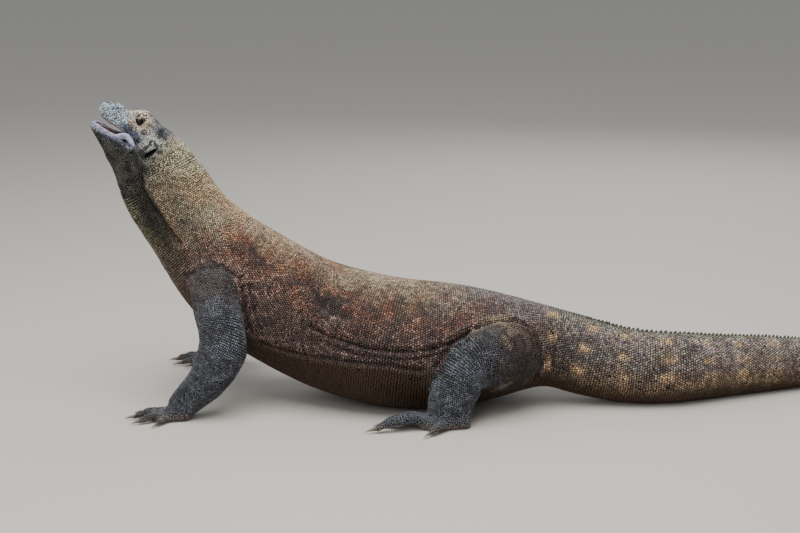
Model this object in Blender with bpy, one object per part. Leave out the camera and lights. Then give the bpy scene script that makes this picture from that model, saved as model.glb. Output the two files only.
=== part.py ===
"""A life-size Komodo dragon, rearing its head on straight forelegs, as a still display model.

Metres, +Z up. The animal faces -X, its left side is towards -Y, and it stands on the plane z = 0.
Neck, trunk and tail are one loft through named stations, parted into nodes with thin gaps.
Head, jaw, limbs and toes are lofts of their own, joined or cut where they meet.
"""

import math
from collections import namedtuple

import bmesh
import bpy
from mathutils import Vector

GAP = 0.0003  # clear space between neighbouring solids
FLOOR = 0.0
SLAB = 4.0  # side of the block that cuts the soles flat
SHARP = math.radians(50)  # edges that turn more than this are drawn as edges
BODY_SIDES = 20  # points round a ring of the trunk
LIMB_SIDES = 10
TOE_SIDES = 6
CLAW_SIDES = 5
HEAD_SIDES = 18
MOUTH_SIDES = 8
UP = Vector((0, 0, 1))
FORE = Vector((1, 0, 0))

# One cross-section of the body: centre, half width, half height,
# sag (how much wider the lower half is) and power (2 is an ellipse, more is boxier).
Station = namedtuple("Station", "name x y z width height sag power")

BODY = [
    Station("ear", -0.6357, 0.088, 0.6128, 0.053, 0.0795, -0.04, 2.2),
    Station("nape", -0.6021, 0.087, 0.5667, 0.063, 0.0965, -0.03, 2.2),
    Station("neck", -0.5598, 0.083, 0.4946, 0.072, 0.1105, 0.00, 2.2),
    Station("throat_base", -0.509, 0.077, 0.420, 0.084, 0.112, 0.02, 2.2),
    Station("shoulder", -0.4398, 0.070, 0.339, 0.112, 0.1325, 0.03, 2.2),
    Station("chest", -0.359, 0.062, 0.270, 0.134, 0.146, 0.03, 2.2),
    Station("ribs_front", -0.238, 0.045, 0.203, 0.158, 0.147, 0.04, 2.2),
    Station("ribs_rear", -0.118, 0.020, 0.165, 0.176, 0.152, 0.07, 2.2),
    Station("belly_front", 0.000, 0.000, 0.1455, 0.186, 0.1525, 0.10, 2.25),
    Station("belly_rear", 0.097, -0.004, 0.1415, 0.180, 0.1495, 0.11, 2.25),
    Station("loin", 0.194, 0.000, 0.141, 0.158, 0.135, 0.09, 2.2),
    Station("hip", 0.288, 0.010, 0.138, 0.126, 0.112, 0.06, 2.2),
    Station("vent", 0.365, 0.012, 0.131, 0.101, 0.096, 0.04, 2.1),
    Station("tail_root", 0.437, 0.002, 0.113, 0.090, 0.096, 0.06, 2.0),
    Station("tail_a", 0.500, -0.008, 0.098, 0.080, 0.093, 0.08, 2.0),
    Station("tail_b", 0.581, -0.016, 0.087, 0.073, 0.090, 0.10, 2.0),
    Station("tail_c", 0.679, -0.008, 0.084, 0.066, 0.087, 0.12, 2.0),
    Station("tail_d", 0.785, 0.035, 0.076, 0.058, 0.079, 0.12, 2.0),
    Station("tail_e", 0.892, 0.075, 0.069, 0.052, 0.072, 0.12, 2.0),
    Station("tail_f", 1.002, 0.118, 0.060, 0.046, 0.063, 0.12, 2.0),
    Station("tail_g", 1.112, 0.172, 0.052, 0.040, 0.055, 0.12, 2.0),
    Station("tail_h", 1.224, 0.238, 0.044, 0.034, 0.046, 0.10, 2.0),
    Station("tail_i", 1.332, 0.296, 0.0355, 0.028, 0.0375, 0.08, 2.0),
    Station("tail_j", 1.436, 0.334, 0.0275, 0.022, 0.029, 0.06, 2.0),
    Station("tail_k", 1.526, 0.346, 0.0195, 0.0165, 0.021, 0.04, 2.0),
    Station("tail_l", 1.600, 0.338, 0.0125, 0.0115, 0.0135, 0.02, 2.0),
    Station("tail_tip", 1.648, 0.318, 0.0065, 0.0060, 0.0070, 0.00, 2.0),
]

# Body nodes, from the head backwards: name, first station, last station, rings in each span.
BODY_NODES = [
    ("neck_upper", "nape", "neck", 2),
    ("neck_lower", "neck", "shoulder", 2),
    ("chest", "shoulder", "ribs_front", 2),
    ("trunk_front", "ribs_front", "belly_front", 2),
    ("trunk_rear", "belly_front", "loin", 2),
    ("pelvis", "loin", "vent", 2),
    ("tail_1", "vent", "tail_a", 2),
    ("tail_2", "tail_a", "tail_c", 2),
    ("tail_3", "tail_c", "tail_e", 1),
    ("tail_4", "tail_e", "tail_g", 1),
    ("tail_5", "tail_g", "tail_i", 1),
    ("tail_6", "tail_i", "tail_tip", 1),
]

# The head has its own axes from a point between the ears: u forward along the upper jaw, v left, w up.
HEAD_PITCH = math.radians(37)
HEAD_ORIGIN = Vector((-0.6005, 0.088, 0.626))
HEAD_FORWARD = Vector((-math.cos(HEAD_PITCH), 0, math.sin(HEAD_PITCH)))
HEAD_UP = Vector((math.sin(HEAD_PITCH), 0, math.cos(HEAD_PITCH)))
HEAD_LEFT = Vector((0, -1, 0))

# A section of skull or jaw: place of its top edge along the head, half width, top, bottom and
# taper (how much narrower the top is than the bottom; negative is the other way).
HeadSection = namedtuple("HeadSection", "u width top bottom taper")

SKULL = [
    HeadSection(0.1435, 0.009, 0.0040, -0.0095, 0.05),
    HeadSection(0.1400, 0.0175, 0.0100, -0.0155, 0.10),
    HeadSection(0.1310, 0.0238, 0.0185, -0.0190, 0.18),
    HeadSection(0.1180, 0.0275, 0.0250, -0.0215, 0.26),
    HeadSection(0.0810, 0.0325, 0.0280, -0.0205, 0.38),
    HeadSection(0.0680, 0.0345, 0.0370, -0.0180, 0.24),
    HeadSection(0.0560, 0.0370, 0.0465, -0.0170, 0.14),
    HeadSection(0.0440, 0.0395, 0.0500, -0.0340, 0.14),
    HeadSection(0.0280, 0.0435, 0.0478, -0.0430, 0.20),
    HeadSection(0.0080, 0.0480, 0.0445, -0.0480, 0.26),
    HeadSection(-0.0140, 0.0500, 0.0432, -0.0480, 0.30),
    HeadSection(-0.0320, 0.0430, 0.0370, -0.0300, 0.28),
    HeadSection(-0.0430, 0.0320, 0.0240, -0.0150, 0.20),
]
JAW_SLANT = 0.41  # how far forward of its top edge the bottom of a jaw section lies, per metre of height
JAW = [
    HeadSection(0.1385, 0.0090, -0.0470, -0.0540, 0.00),
    HeadSection(0.1345, 0.0170, -0.0460, -0.0580, -0.06),
    HeadSection(0.1220, 0.0235, -0.0445, -0.0635, -0.12),
    HeadSection(0.1050, 0.0275, -0.0425, -0.0698, -0.13),
    HeadSection(0.0720, 0.0340, -0.0352, -0.0818, -0.12),
    HeadSection(0.0560, 0.0380, -0.0310, -0.0875, -0.11),
    HeadSection(0.0400, 0.0430, -0.0330, -0.0960, -0.11),
    HeadSection(0.0240, 0.0430, -0.0380, -0.1060, -0.10),
    HeadSection(0.0120, 0.0350, -0.0420, -0.1050, -0.10),
]
# The hollows behind the lips, and the linings that lie in them.
MOUTH_ROOF = [
    HeadSection(0.1300, 0.0110, -0.0140, -0.0340, 0.0),
    HeadSection(0.1230, 0.0180, -0.0125, -0.0340, 0.0),
    HeadSection(0.1040, 0.0228, -0.0115, -0.0340, 0.0),
    HeadSection(0.0620, 0.0285, -0.0085, -0.0300, 0.0),
    HeadSection(0.0500, 0.0270, -0.0090, -0.0250, 0.0),
]
PALATE = [
    HeadSection(0.1310, 0.0125, -0.0080, -0.0190, 0.0),
    HeadSection(0.1235, 0.0195, -0.0080, -0.0195, 0.0),
    HeadSection(0.1040, 0.0243, -0.0070, -0.0205, 0.0),
    HeadSection(0.0620, 0.0300, -0.0050, -0.0175, 0.0),
    HeadSection(0.0490, 0.0290, -0.0050, -0.0150, 0.0),
]
MOUTH_BASE = [
    HeadSection(0.1290, 0.0110, -0.0300, -0.0535, 0.0),
    HeadSection(0.1220, 0.0175, -0.0300, -0.0555, 0.0),
    HeadSection(0.1040, 0.0213, -0.0290, -0.0580, 0.0),
    HeadSection(0.0620, 0.0275, -0.0200, -0.0510, 0.0),
    HeadSection(0.0500, 0.0270, -0.0200, -0.0460, 0.0),
]
MOUTH_FLOOR = [
    HeadSection(0.1298, 0.0123, -0.0470, -0.0580, 0.1),
    HeadSection(0.1225, 0.0190, -0.0420, -0.0590, 0.1),
    HeadSection(0.1040, 0.0228, -0.0360, -0.0620, 0.1),
    HeadSection(0.0620, 0.0290, -0.0230, -0.0550, 0.1),
    HeadSection(0.0490, 0.0290, -0.0190, -0.0500, 0.1),
]
BROW = {"u": 0.052, "reach": 0.020, "lift": 0.0045, "angle": math.radians(52), "spread": 0.45}
EYE = {"u": 0.0475, "v": 0.0270, "w": 0.0265, "radius": 0.0110}
# How square the upper and the lower half of a section are (2 is an ellipse).
SKULL_POWERS = (2.6, 5.0)
JAW_POWERS = (5.0, 2.2)
MOUTH_POWERS = (3.0, 3.0)
# Recesses in the sides of the head: place, half size along the head, outwards and up, and backward lean.
Recess = namedtuple("Recess", "u v w along out rise lean")
EAR = Recess(-0.0195, 0.0575, -0.0148, 0.0052, 0.0080, 0.0190, 0.33)
NOSTRIL = Recess(0.1165, 0.0210, 0.0090, 0.0038, 0.0040, 0.0024, 0.0)
ROUND_SIDES = {"eye": 10, "ear": 8, "nostril": 6}

# A stretch of limb: its middle and two half widths. Where the limb runs level these are its
# width and height; where it stands upright they are fore-and-aft and sideways.
LimbPoint = namedtuple("LimbPoint", "x y z along across")

UPPER_ARM = [
    LimbPoint(-0.432, 0.010, 0.318, 0.056, 0.050),
    LimbPoint(-0.446, -0.045, 0.297, 0.059, 0.052),
    LimbPoint(-0.436, -0.083, 0.252, 0.055, 0.050),
    LimbPoint(-0.417, -0.116, 0.204, 0.058, 0.050),
]
FOREARM = [
    LimbPoint(-0.414, -0.118, 0.206, 0.054, 0.047),
    LimbPoint(-0.416, -0.130, 0.158, 0.061, 0.050),
    LimbPoint(-0.433, -0.139, 0.120, 0.055, 0.046),
    LimbPoint(-0.459, -0.145, 0.082, 0.047, 0.041),
    LimbPoint(-0.499, -0.150, 0.0452, 0.0393, 0.034),
    LimbPoint(-0.5242, -0.152, 0.0300, 0.0312, 0.026),
]
THIGH = [
    LimbPoint(0.300, 0.010, 0.133, 0.068, 0.080),
    LimbPoint(0.268, -0.070, 0.137, 0.074, 0.090),
    LimbPoint(0.222, -0.123, 0.143, 0.070, 0.085),
    LimbPoint(0.167, -0.160, 0.150, 0.056, 0.066),
]
SHANK = [
    LimbPoint(0.166, -0.164, 0.154, 0.048, 0.042),
    LimbPoint(0.150, -0.184, 0.116, 0.056, 0.047),
    LimbPoint(0.130, -0.200, 0.081, 0.055, 0.044),
    LimbPoint(0.111, -0.211, 0.048, 0.056, 0.038),
    LimbPoint(0.103, -0.214, 0.032, 0.048, 0.030),
]

# A paw: the middle of its back edge, heading in degrees from -X (positive turns outwards),
# length and half width of the palm or sole, and its height at the back and at the toes.
Paw = namedtuple("Paw", "x y heading length width back front")
HAND = Paw(-0.498, -0.152, 4, 0.080, 0.036, 0.056, 0.020)
FOOT = Paw(0.152, -0.209, 7, 0.104, 0.040, 0.056, 0.032)

# The right limbs are the left ones mirrored about the middle of the body there,
# with the paw set down further back and further out.
Stance = namedtuple("Stance", "middle back out hip_height")
ARM_STANCE = Stance(0.070, 0.036, 0.036, 0.300)
LEG_STANCE = Stance(0.010, 0.030, 0.004, 0.140)

# Toes from the inner to the outer one: splay in degrees outwards, length, place along the palm
# (0 back, 1 front), place across it (-1 inner edge, 1 outer edge), radius at the root and
# how many radii its middle is arched up.
Toe = namedtuple("Toe", "splay length along across radius arch")
HAND_TOES = [
    Toe(-43, 0.040, 0.61, -0.64, 0.0098, 0.3),
    Toe(-19, 0.050, 0.79, -0.50, 0.0103, 0.4),
    Toe(2, 0.056, 0.90, 0.03, 0.0107, 0.5),
    Toe(24, 0.052, 0.82, 0.52, 0.0105, 0.4),
    Toe(56, 0.042, 0.57, 0.68, 0.0098, 0.3),
]
FOOT_TOES = [
    Toe(-30, 0.045, 0.70, -0.60, 0.0115, 0.4),
    Toe(-13, 0.072, 0.86, -0.48, 0.0125, 0.8),
    Toe(-1, 0.100, 0.90, -0.10, 0.0132, 1.2),
    Toe(7, 0.124, 0.88, 0.36, 0.0132, 1.3),
    Toe(44, 0.064, 0.46, 0.70, 0.0115, 0.5),
]
# One leg: the names of its three nodes, the tables they are made from, and which way is outwards in y.
Limb = namedtuple("Limb", "upper_name lower_name paw_name upper lower paw toes outwards")
CLAW_LENGTH = {"hand": 0.023, "foot": 0.025}
CLAW_HEIGHT = 0.0045  # half height and half width of a claw at its root
CLAW_WIDTH = 0.0040

# The middle of the ground that the animal covers, in the coordinates of the tables above.
FOOTPRINT_CENTRE = Vector((0.4528, 0.0500, 0.0))

# Shapes from back to front. Palm: place, width, girth. Toe: place, lift in radii, girth.
# Claw: place, lift in claw lengths, girth.
PALM_SHAPE = ((-0.10, 0.55, 0.62), (0.03, 0.88, 0.95), (0.78, 1.0, 1.0), (1.02, 0.62, 0.7))
TOE_SHAPE = ((-0.15, 0.95, 1.0), (0.35, 1.05, 1.0), (0.80, 0.84, 0.84), (1.0, 0.66, 0.58))
CLAW_SHAPE = ((-0.20, 0.0, 1.0), (0.38, 0.08, 0.84), (0.74, -0.04, 0.50), (1.0, -0.26, 0.16))

COLOURS = {
    "hide_head": (0.30, 0.33, 0.34),
    "hide_neck": (0.36, 0.31, 0.22),
    "hide_body": (0.26, 0.19, 0.15),
    "hide_limb": (0.13, 0.14, 0.15),
    "hide_tail": (0.25, 0.21, 0.17),
    "mouth": (0.48, 0.20, 0.22),
    "eye": (0.03, 0.022, 0.018),
    "claw": (0.16, 0.14, 0.12),
}
ROUGHNESS = {"mouth": 0.3, "eye": 0.08, "claw": 0.35}
HIDE_ROUGHNESS = 0.6


def clear_scene():
    for obj in list(bpy.data.objects):
        bpy.data.objects.remove(obj)


def make_collection(name):
    collection = bpy.data.collections.new(name)
    bpy.context.scene.collection.children.link(collection)
    return collection


def make_material(name):
    material = bpy.data.materials.new(name)
    material.use_nodes = True
    shader = material.node_tree.nodes["Principled BSDF"]
    shader.inputs["Base Color"].default_value = (*COLOURS[name], 1)
    shader.inputs["Roughness"].default_value = ROUGHNESS.get(name, HIDE_ROUGHNESS)
    shader.inputs["Metallic"].default_value = 0.0
    return material


def between(rows, at):
    """The values of a table of rows at a fractional row number, on a smooth curve through the rows."""
    first = min(int(at), len(rows) - 2)
    t = at - first
    before, here, after, beyond = (
        rows[min(max(i, 0), len(rows) - 1)] for i in range(first - 1, first + 3)
    )
    return [
        0.5
        * (
            2 * b
            + (c - a) * t
            + (2 * a - 5 * b + 4 * c - d) * t**2
            + (3 * b - a - 3 * c + d) * t**3
        )
        for a, b, c, d in zip(before, here, after, beyond)
    ]


def loft(name, rings):
    """A closed mesh through rings of equal count, each end closed by one face."""
    bm = bmesh.new()
    grown = [[bm.verts.new(p) for p in ring] for ring in rings]
    count = len(rings[0])
    for back, front in zip(grown, grown[1:]):
        for i in range(count):
            j = (i + 1) % count
            bm.faces.new((back[i], back[j], front[j], front[i]))
    bm.faces.new(reversed(grown[0]))
    bm.faces.new(grown[-1])
    bmesh.ops.triangulate(bm, faces=bm.faces, quad_method="FIXED")
    if bm.calc_volume(signed=True) < 0:
        bmesh.ops.reverse_faces(bm, faces=bm.faces)
    mesh = bpy.data.meshes.new(name)
    bm.to_mesh(mesh)
    bm.free()
    mesh.shade_smooth()
    mesh.set_sharp_from_angle(angle=SHARP)
    return bpy.data.objects.new(name, mesh)


def signed_power(value, power):
    return math.copysign(abs(value) ** power, value)


def on_floor(point):
    """Soft parts that would sink below the floor lie flat on it."""
    return Vector((point.x, point.y, max(point.z, FLOOR)))


# ---------------------------------------------------------------- neck, trunk and tail


def station_number(name):
    return [s.name for s in BODY].index(name)


def body_ring(at, shift=0.0):
    """The ring at a fractional station number; shift moves it along the body, tailwards."""
    rows = [s[1:] for s in BODY]
    x, y, z, width, height, sag, power = between(rows, at)
    ahead = Vector(between(rows, min(at + 0.02, len(rows) - 1))[:3])
    behind = Vector(between(rows, max(at - 0.02, 0))[:3])
    tailwards = (ahead - behind).normalized()
    side = UP.cross(tailwards).normalized()
    upwards = tailwards.cross(side)
    centre = Vector((x, y, z)) + tailwards * shift
    ring = []
    for k in range(BODY_SIDES):
        angle = 2 * math.pi * k / BODY_SIDES
        across = width * signed_power(math.cos(angle), 2 / power) * (1 - sag * math.sin(angle))
        rise = height * signed_power(math.sin(angle), 2 / power)
        ring.append(on_floor(centre + side * across + upwards * rise))
    return ring


def body_stretch(name, first, last, per_span):
    """The body between two stations, as a loft with half a gap left off at each parted end."""
    start, end = station_number(first), station_number(last)
    steps = (end - start) * per_span
    rings = []
    for k in range(steps + 1):
        shift = GAP / 2 if k == 0 and first != BODY[0].name else 0.0
        shift = -GAP / 2 if k == steps and last != BODY[-1].name else shift
        rings.append(body_ring(start + k / per_span, shift))
    if last == BODY[-1].name:
        rings += rounded_end(rings[-1], rings[-2])
    return loft(name, rings)


def rounded_end(ring, inner):
    """Two smaller rings beyond an end ring, so that the end is domed and not cut off."""
    middle = sum(ring, Vector()) / len(ring)
    outwards = (middle - sum(inner, Vector()) / len(inner)).normalized()
    size = min((p - middle).length for p in ring)
    return [
        [on_floor(middle + (p - middle) * scale + outwards * size * rise) for p in ring]
        for scale, rise in ((0.78, 0.40), (0.35, 0.62))
    ]


# ---------------------------------------------------------------- head


def head_point(u, v, w):
    return HEAD_ORIGIN + HEAD_FORWARD * u + HEAD_LEFT * v + HEAD_UP * w


def brow_push(u, angle):
    """How far the ridge above each eye stands out at a place on the skull."""
    lean = min(abs(angle - BROW["angle"]), abs(math.pi - angle - BROW["angle"]))
    near = math.exp(-(((u - BROW["u"]) / BROW["reach"]) ** 2))
    return BROW["lift"] * near * math.exp(-((lean / BROW["spread"]) ** 2))


def head_ring(section, sides, powers, slant, brow):
    """A ring of the head; powers are for its upper and lower half, and slant sets the bottom forward."""
    middle = (section.top + section.bottom) / 2
    half = (section.top - section.bottom) / 2
    ring = []
    for k in range(sides):
        angle = 2 * math.pi * k / sides
        power = powers[0] if math.sin(angle) > 0 else powers[1]
        height = signed_power(math.sin(angle), 2 / power)
        narrowing = 1 - section.taper * (height + 1) / 2
        v = section.width * signed_power(math.cos(angle), 2 / power) * narrowing
        w = middle + half * height
        if brow:
            push = brow_push(section.u, angle)
            v += math.copysign(push, v)
            w += push * 0.6
        ring.append(head_point(section.u + slant * half * (1 - height), v, w))
    return ring


def head_loft(name, sections, sides, powers, slant=0.0, brow=False):
    return loft(name, [head_ring(section, sides, powers, slant, brow) for section in sections])


def ball(name, centre, radius, sides):
    bm = bmesh.new()
    bmesh.ops.create_uvsphere(bm, u_segments=sides, v_segments=sides // 2 + 1, radius=radius)
    mesh = bpy.data.meshes.new(name)
    bm.to_mesh(mesh)
    bm.free()
    mesh.shade_smooth()
    obj = bpy.data.objects.new(name, mesh)
    obj.location = centre
    return obj


def recess_cutter(name, recess, side, sides):
    """A flattened ball sunk into one side of the head; side is 1 for left and -1 for right."""
    obj = ball(name, head_point(recess.u, side * recess.v, recess.w), 1.0, sides)
    for vertex in obj.data.vertices:
        x, y, z = vertex.co
        rise = z * recess.rise
        along = x * recess.along - rise * recess.lean
        vertex.co = HEAD_FORWARD * along + HEAD_LEFT * (y * recess.out * side) + HEAD_UP * rise
    return outward(obj)


def outward(obj):
    """Faces of a reshaped mesh turned to point outwards."""
    bm = bmesh.new()
    bm.from_mesh(obj.data)
    bmesh.ops.recalc_face_normals(bm, faces=bm.faces)
    bm.to_mesh(obj.data)
    bm.free()
    return obj


# ---------------------------------------------------------------- joining and cutting


def boolean(target, operation, other):
    modifier = target.modifiers.new(f"{operation.lower()}_{other.name}", "BOOLEAN")
    modifier.operation = operation
    modifier.object = other
    modifier.solver = "EXACT"


def helper(obj, cutters):
    """A cutter or a piece to be joined: kept out of the model."""
    cutters.objects.link(obj)
    obj.hide_render = True
    obj.display_type = "WIRE"
    return obj


def settled(obj, name):
    """The object's shape with its modifiers worked out, as a new object."""
    graph = bpy.context.evaluated_depsgraph_get()
    mesh = bpy.data.meshes.new_from_object(obj.evaluated_get(graph))
    made = bpy.data.objects.new(name, mesh)
    made.matrix_world = obj.matrix_world
    return made


def grown(obj, cutters, by=GAP):
    """A cutter that is the object's shape, larger by the gap all round."""
    bpy.context.view_layer.update()
    made = settled(obj, f"{obj.name}_cutter")
    normals = [v.normal.copy() for v in made.data.vertices]
    for vertex, normal in zip(made.data.vertices, normals):
        vertex.co += normal * by
    return helper(made, cutters)


# ---------------------------------------------------------------- limbs


def limb_ring(points, at, sides, reference):
    x, y, z, along, across = between(points, at)
    ahead = Vector(between(points, min(at + 0.05, len(points) - 1))[:3])
    behind = Vector(between(points, max(at - 0.05, 0))[:3])
    down = (ahead - behind).normalized()
    fore = (reference - down * reference.dot(down)).normalized()
    side = down.cross(fore)
    centre = Vector((x, y, z))
    ring = []
    for k in range(sides):
        angle = 2 * math.pi * k / sides
        ring.append(centre + fore * (along * math.cos(angle)) + side * (across * math.sin(angle)))
    return ring


def limb_stretch(name, points):
    """A stretch of limb, domed at its lower end."""
    rings = [limb_ring(points, k, LIMB_SIDES, FORE) for k in range(len(points))]
    return loft(name, rings + rounded_end(rings[-1], rings[-2]))


def right_point(point, stance):
    """A point of a left limb, mirrored to the right one."""
    drop = 1 - point.z / stance.hip_height
    y = 2 * stance.middle - point.y + stance.out * drop
    return point._replace(x=point.x + stance.back * drop, y=y)


def right_paw(paw, stance):
    y = 2 * stance.middle - paw.y + stance.out
    return paw._replace(x=paw.x + stance.back, y=y)


def paw_axes(paw, outwards):
    """Forward and outward directions of a paw on the floor."""
    turn = math.radians(paw.heading)
    forward = Vector((-math.cos(turn), outwards * math.sin(turn), 0))
    outer = Vector((math.sin(turn), outwards * math.cos(turn), 0))
    return forward, outer


def palm(name, paw, outwards):
    """The sole and back of a paw, not yet cut off flat at the floor."""
    forward, outer = paw_axes(paw, outwards)
    heel = Vector((paw.x, paw.y, 0))
    rings = []
    for place, width, girth in PALM_SHAPE:
        tall = girth * (paw.back + (paw.front - paw.back) * min(max(place, 0) * 1.15, 1))
        centre = heel + forward * (paw.length * place) + UP * (tall * 0.42)
        ring = []
        for k in range(LIMB_SIDES):
            angle = 2 * math.pi * k / LIMB_SIDES
            across = outer * (paw.width * width * math.cos(angle))
            ring.append(centre + across + UP * (tall * 0.58 * math.sin(angle)))
        rings.append(ring)
    return loft(name, rings)


def floor_slab(cutters):
    """Everything below the floor, to cut the soles flat."""
    bm = bmesh.new()
    bmesh.ops.create_cube(bm, size=SLAB)
    mesh = bpy.data.meshes.new("floor_slab")
    bm.to_mesh(mesh)
    bm.free()
    slab = bpy.data.objects.new("floor_slab", mesh)
    slab.location = (0, 0, FLOOR - SLAB / 2)
    return helper(slab, cutters)


def toe_path(paw, toe, outwards):
    """Points of a toe's middle line from inside the palm to the tip, and its heading on the floor."""
    forward, outer = paw_axes(paw, outwards)
    turn = math.radians(toe.splay)
    heading = forward * math.cos(turn) + outer * math.sin(turn)
    heel = Vector((paw.x, paw.y, 0))
    root = heel + forward * (paw.length * toe.along) + outer * (paw.width * toe.across)
    points = []
    for place, lift, girth in TOE_SHAPE:
        arch = toe.arch * max(0, math.sin(math.pi * place)) if place < 1 else 0
        centre = root + heading * (toe.length * place) + UP * (toe.radius * (lift + arch))
        points.append(LimbPoint(*centre, toe.radius * girth, toe.radius * girth))
    return points, heading


def toe_loft(name, points):
    return loft(name, [limb_ring(points, k, TOE_SIDES, UP) for k in range(len(points))])


def claw(name, tip, heading, length):
    """A curved, tapering horn that leaves the toe's end and bends down to the floor."""
    points = []
    for place, lift, girth in CLAW_SHAPE:
        spot = tip + heading * (length * place) + UP * (length * lift)
        spot.z = max(spot.z, CLAW_HEIGHT * girth + 2 * GAP)
        points.append(LimbPoint(*spot, CLAW_HEIGHT * girth, CLAW_WIDTH * girth))
    return loft(name, [limb_ring(points, k, CLAW_SIDES, UP) for k in range(len(points))])


# ---------------------------------------------------------------- the animal


def add(obj, collection, material):
    collection.objects.link(obj)
    obj.data.materials.append(material)
    return obj


def build_body(model, materials):
    for name, first, last, per_span in BODY_NODES:
        slot = "hide_neck" if name.startswith("neck") else "hide_body"
        slot = "hide_tail" if name.startswith("tail") else slot
        add(body_stretch(name, first, last, per_span), model, materials[slot])


def whole_body_cutter(cutters):
    """Neck, trunk and the root of the tail in one piece, with the same rings as the nodes."""
    start, end = station_number("nape"), station_number("tail_a")
    rings = [body_ring(start + k / 2) for k in range((end - start) * 2 + 1)]
    return grown(helper(loft("whole_body", rings), cutters), cutters)


def build_head(model, materials, cutters):
    """Skull with throat, hollowed for mouth, eyes, ears and nostrils, then jaw and mouth linings."""
    hide = materials["hide_head"]
    roof = head_loft("mouth_roof", MOUTH_ROOF, MOUTH_SIDES, MOUTH_POWERS)
    head = add(head_loft("head", SKULL, HEAD_SIDES, SKULL_POWERS, brow=True), model, hide)
    boolean(head, "UNION", helper(body_stretch("throat_front", "ear", "nape", 2), cutters))
    boolean(head, "DIFFERENCE", helper(roof, cutters))
    for side, word in ((1, "left"), (-1, "right")):
        centre = head_point(EYE["u"], side * EYE["v"], EYE["w"])
        sockets = (
            ball(f"socket_{word}", centre, EYE["radius"] + GAP, ROUND_SIDES["eye"]),
            recess_cutter(f"ear_{word}", EAR, side, ROUND_SIDES["ear"]),
            recess_cutter(f"nostril_{word}", NOSTRIL, side, ROUND_SIDES["nostril"]),
        )
        for socket in sockets:
            boolean(head, "DIFFERENCE", helper(socket, cutters))
        add(ball(f"eye_{word}", centre, EYE["radius"], ROUND_SIDES["eye"]), model, materials["eye"])
    head_cutter = grown(head, cutters)

    base = head_loft("mouth_base", MOUTH_BASE, MOUTH_SIDES, MOUTH_POWERS)
    jaw = add(head_loft("lower_jaw", JAW, HEAD_SIDES, JAW_POWERS, slant=JAW_SLANT), model, hide)
    boolean(jaw, "DIFFERENCE", helper(base, cutters))
    boolean(jaw, "DIFFERENCE", head_cutter)
    jaw_cutter = grown(jaw, cutters)
    for name, sections in (("palate", PALATE), ("mouth_floor", MOUTH_FLOOR)):
        lining = add(head_loft(name, sections, MOUTH_SIDES, MOUTH_POWERS), model, materials["mouth"])
        boolean(lining, "DIFFERENCE", head_cutter)
        boolean(lining, "DIFFERENCE", jaw_cutter)


def build_limb(model, materials, cutters, tools, limb):
    """Upper and lower limb, paw and claws of one leg, each cut by what it meets."""
    hide = materials["hide_limb"]
    upper = add(limb_stretch(limb.upper_name, limb.upper), model, hide)
    upper_cutter = grown(upper, cutters)
    boolean(upper, "DIFFERENCE", tools["body"])
    lower = add(limb_stretch(limb.lower_name, limb.lower), model, hide)
    lower_cutter = grown(lower, cutters)
    boolean(lower, "DIFFERENCE", upper_cutter)
    boolean(lower, "DIFFERENCE", tools["body"])

    sole = add(palm(limb.paw_name, limb.paw, limb.outwards), model, hide)
    paths = [toe_path(limb.paw, toe, limb.outwards) for toe in limb.toes]
    for number, (path, _) in enumerate(paths, 1):
        boolean(sole, "UNION", helper(toe_loft(f"{limb.paw_name}_toe_{number}", path), cutters))
    for cutter in (tools["floor"], lower_cutter, tools["body"]):
        boolean(sole, "DIFFERENCE", cutter)
    sole_cutter = grown(sole, cutters)
    length = CLAW_LENGTH[limb.paw_name.split("_")[0]]
    for number, (path, heading) in enumerate(paths, 1):
        horn = claw(f"claw_{limb.paw_name}_{number}", Vector(path[-1][:3]), heading, length)
        boolean(add(horn, model, materials["claw"]), "DIFFERENCE", sole_cutter)


def build_limbs(model, materials, cutters):
    tools = {"body": whole_body_cutter(cutters), "floor": floor_slab(cutters)}
    pairs = (
        (("upper_arm", "forearm", "hand"), UPPER_ARM, FOREARM, HAND, HAND_TOES, ARM_STANCE),
        (("thigh", "shank", "foot"), THIGH, SHANK, FOOT, FOOT_TOES, LEG_STANCE),
    )
    for words, upper, lower, paw, toes, stance in pairs:
        names = [f"{word}_left" for word in words]
        build_limb(model, materials, cutters, tools, Limb(*names, upper, lower, paw, toes, -1))
        names = [f"{word}_right" for word in words]
        upper = [right_point(point, stance) for point in upper]
        lower = [right_point(point, stance) for point in lower]
        paw = right_paw(paw, stance)
        build_limb(model, materials, cutters, tools, Limb(*names, upper, lower, paw, toes, 1))


def main():
    clear_scene()
    model = make_collection("komodo_dragon")
    cutters = make_collection("cutters")
    cutters.hide_render = True
    materials = {name: make_material(name) for name in COLOURS}

    build_body(model, materials)
    build_head(model, materials, cutters)
    build_limbs(model, materials, cutters)
    for obj in (*model.objects, *cutters.objects):
        obj.location -= FOOTPRINT_CENTRE
    bpy.context.view_layer.update()


main()
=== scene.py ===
"""Komodo dragon, a life-size still model: a wrinkled skin, a coat of scales, eyes, claws, mouth and stage."""

import itertools
import math
from types import SimpleNamespace

import bmesh
import bpy
import numpy as np
from bpy.props import FloatProperty, FloatVectorProperty, PointerProperty
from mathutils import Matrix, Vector
from mathutils.bvhtree import BVHTree
from mathutils.kdtree import KDTree


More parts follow.
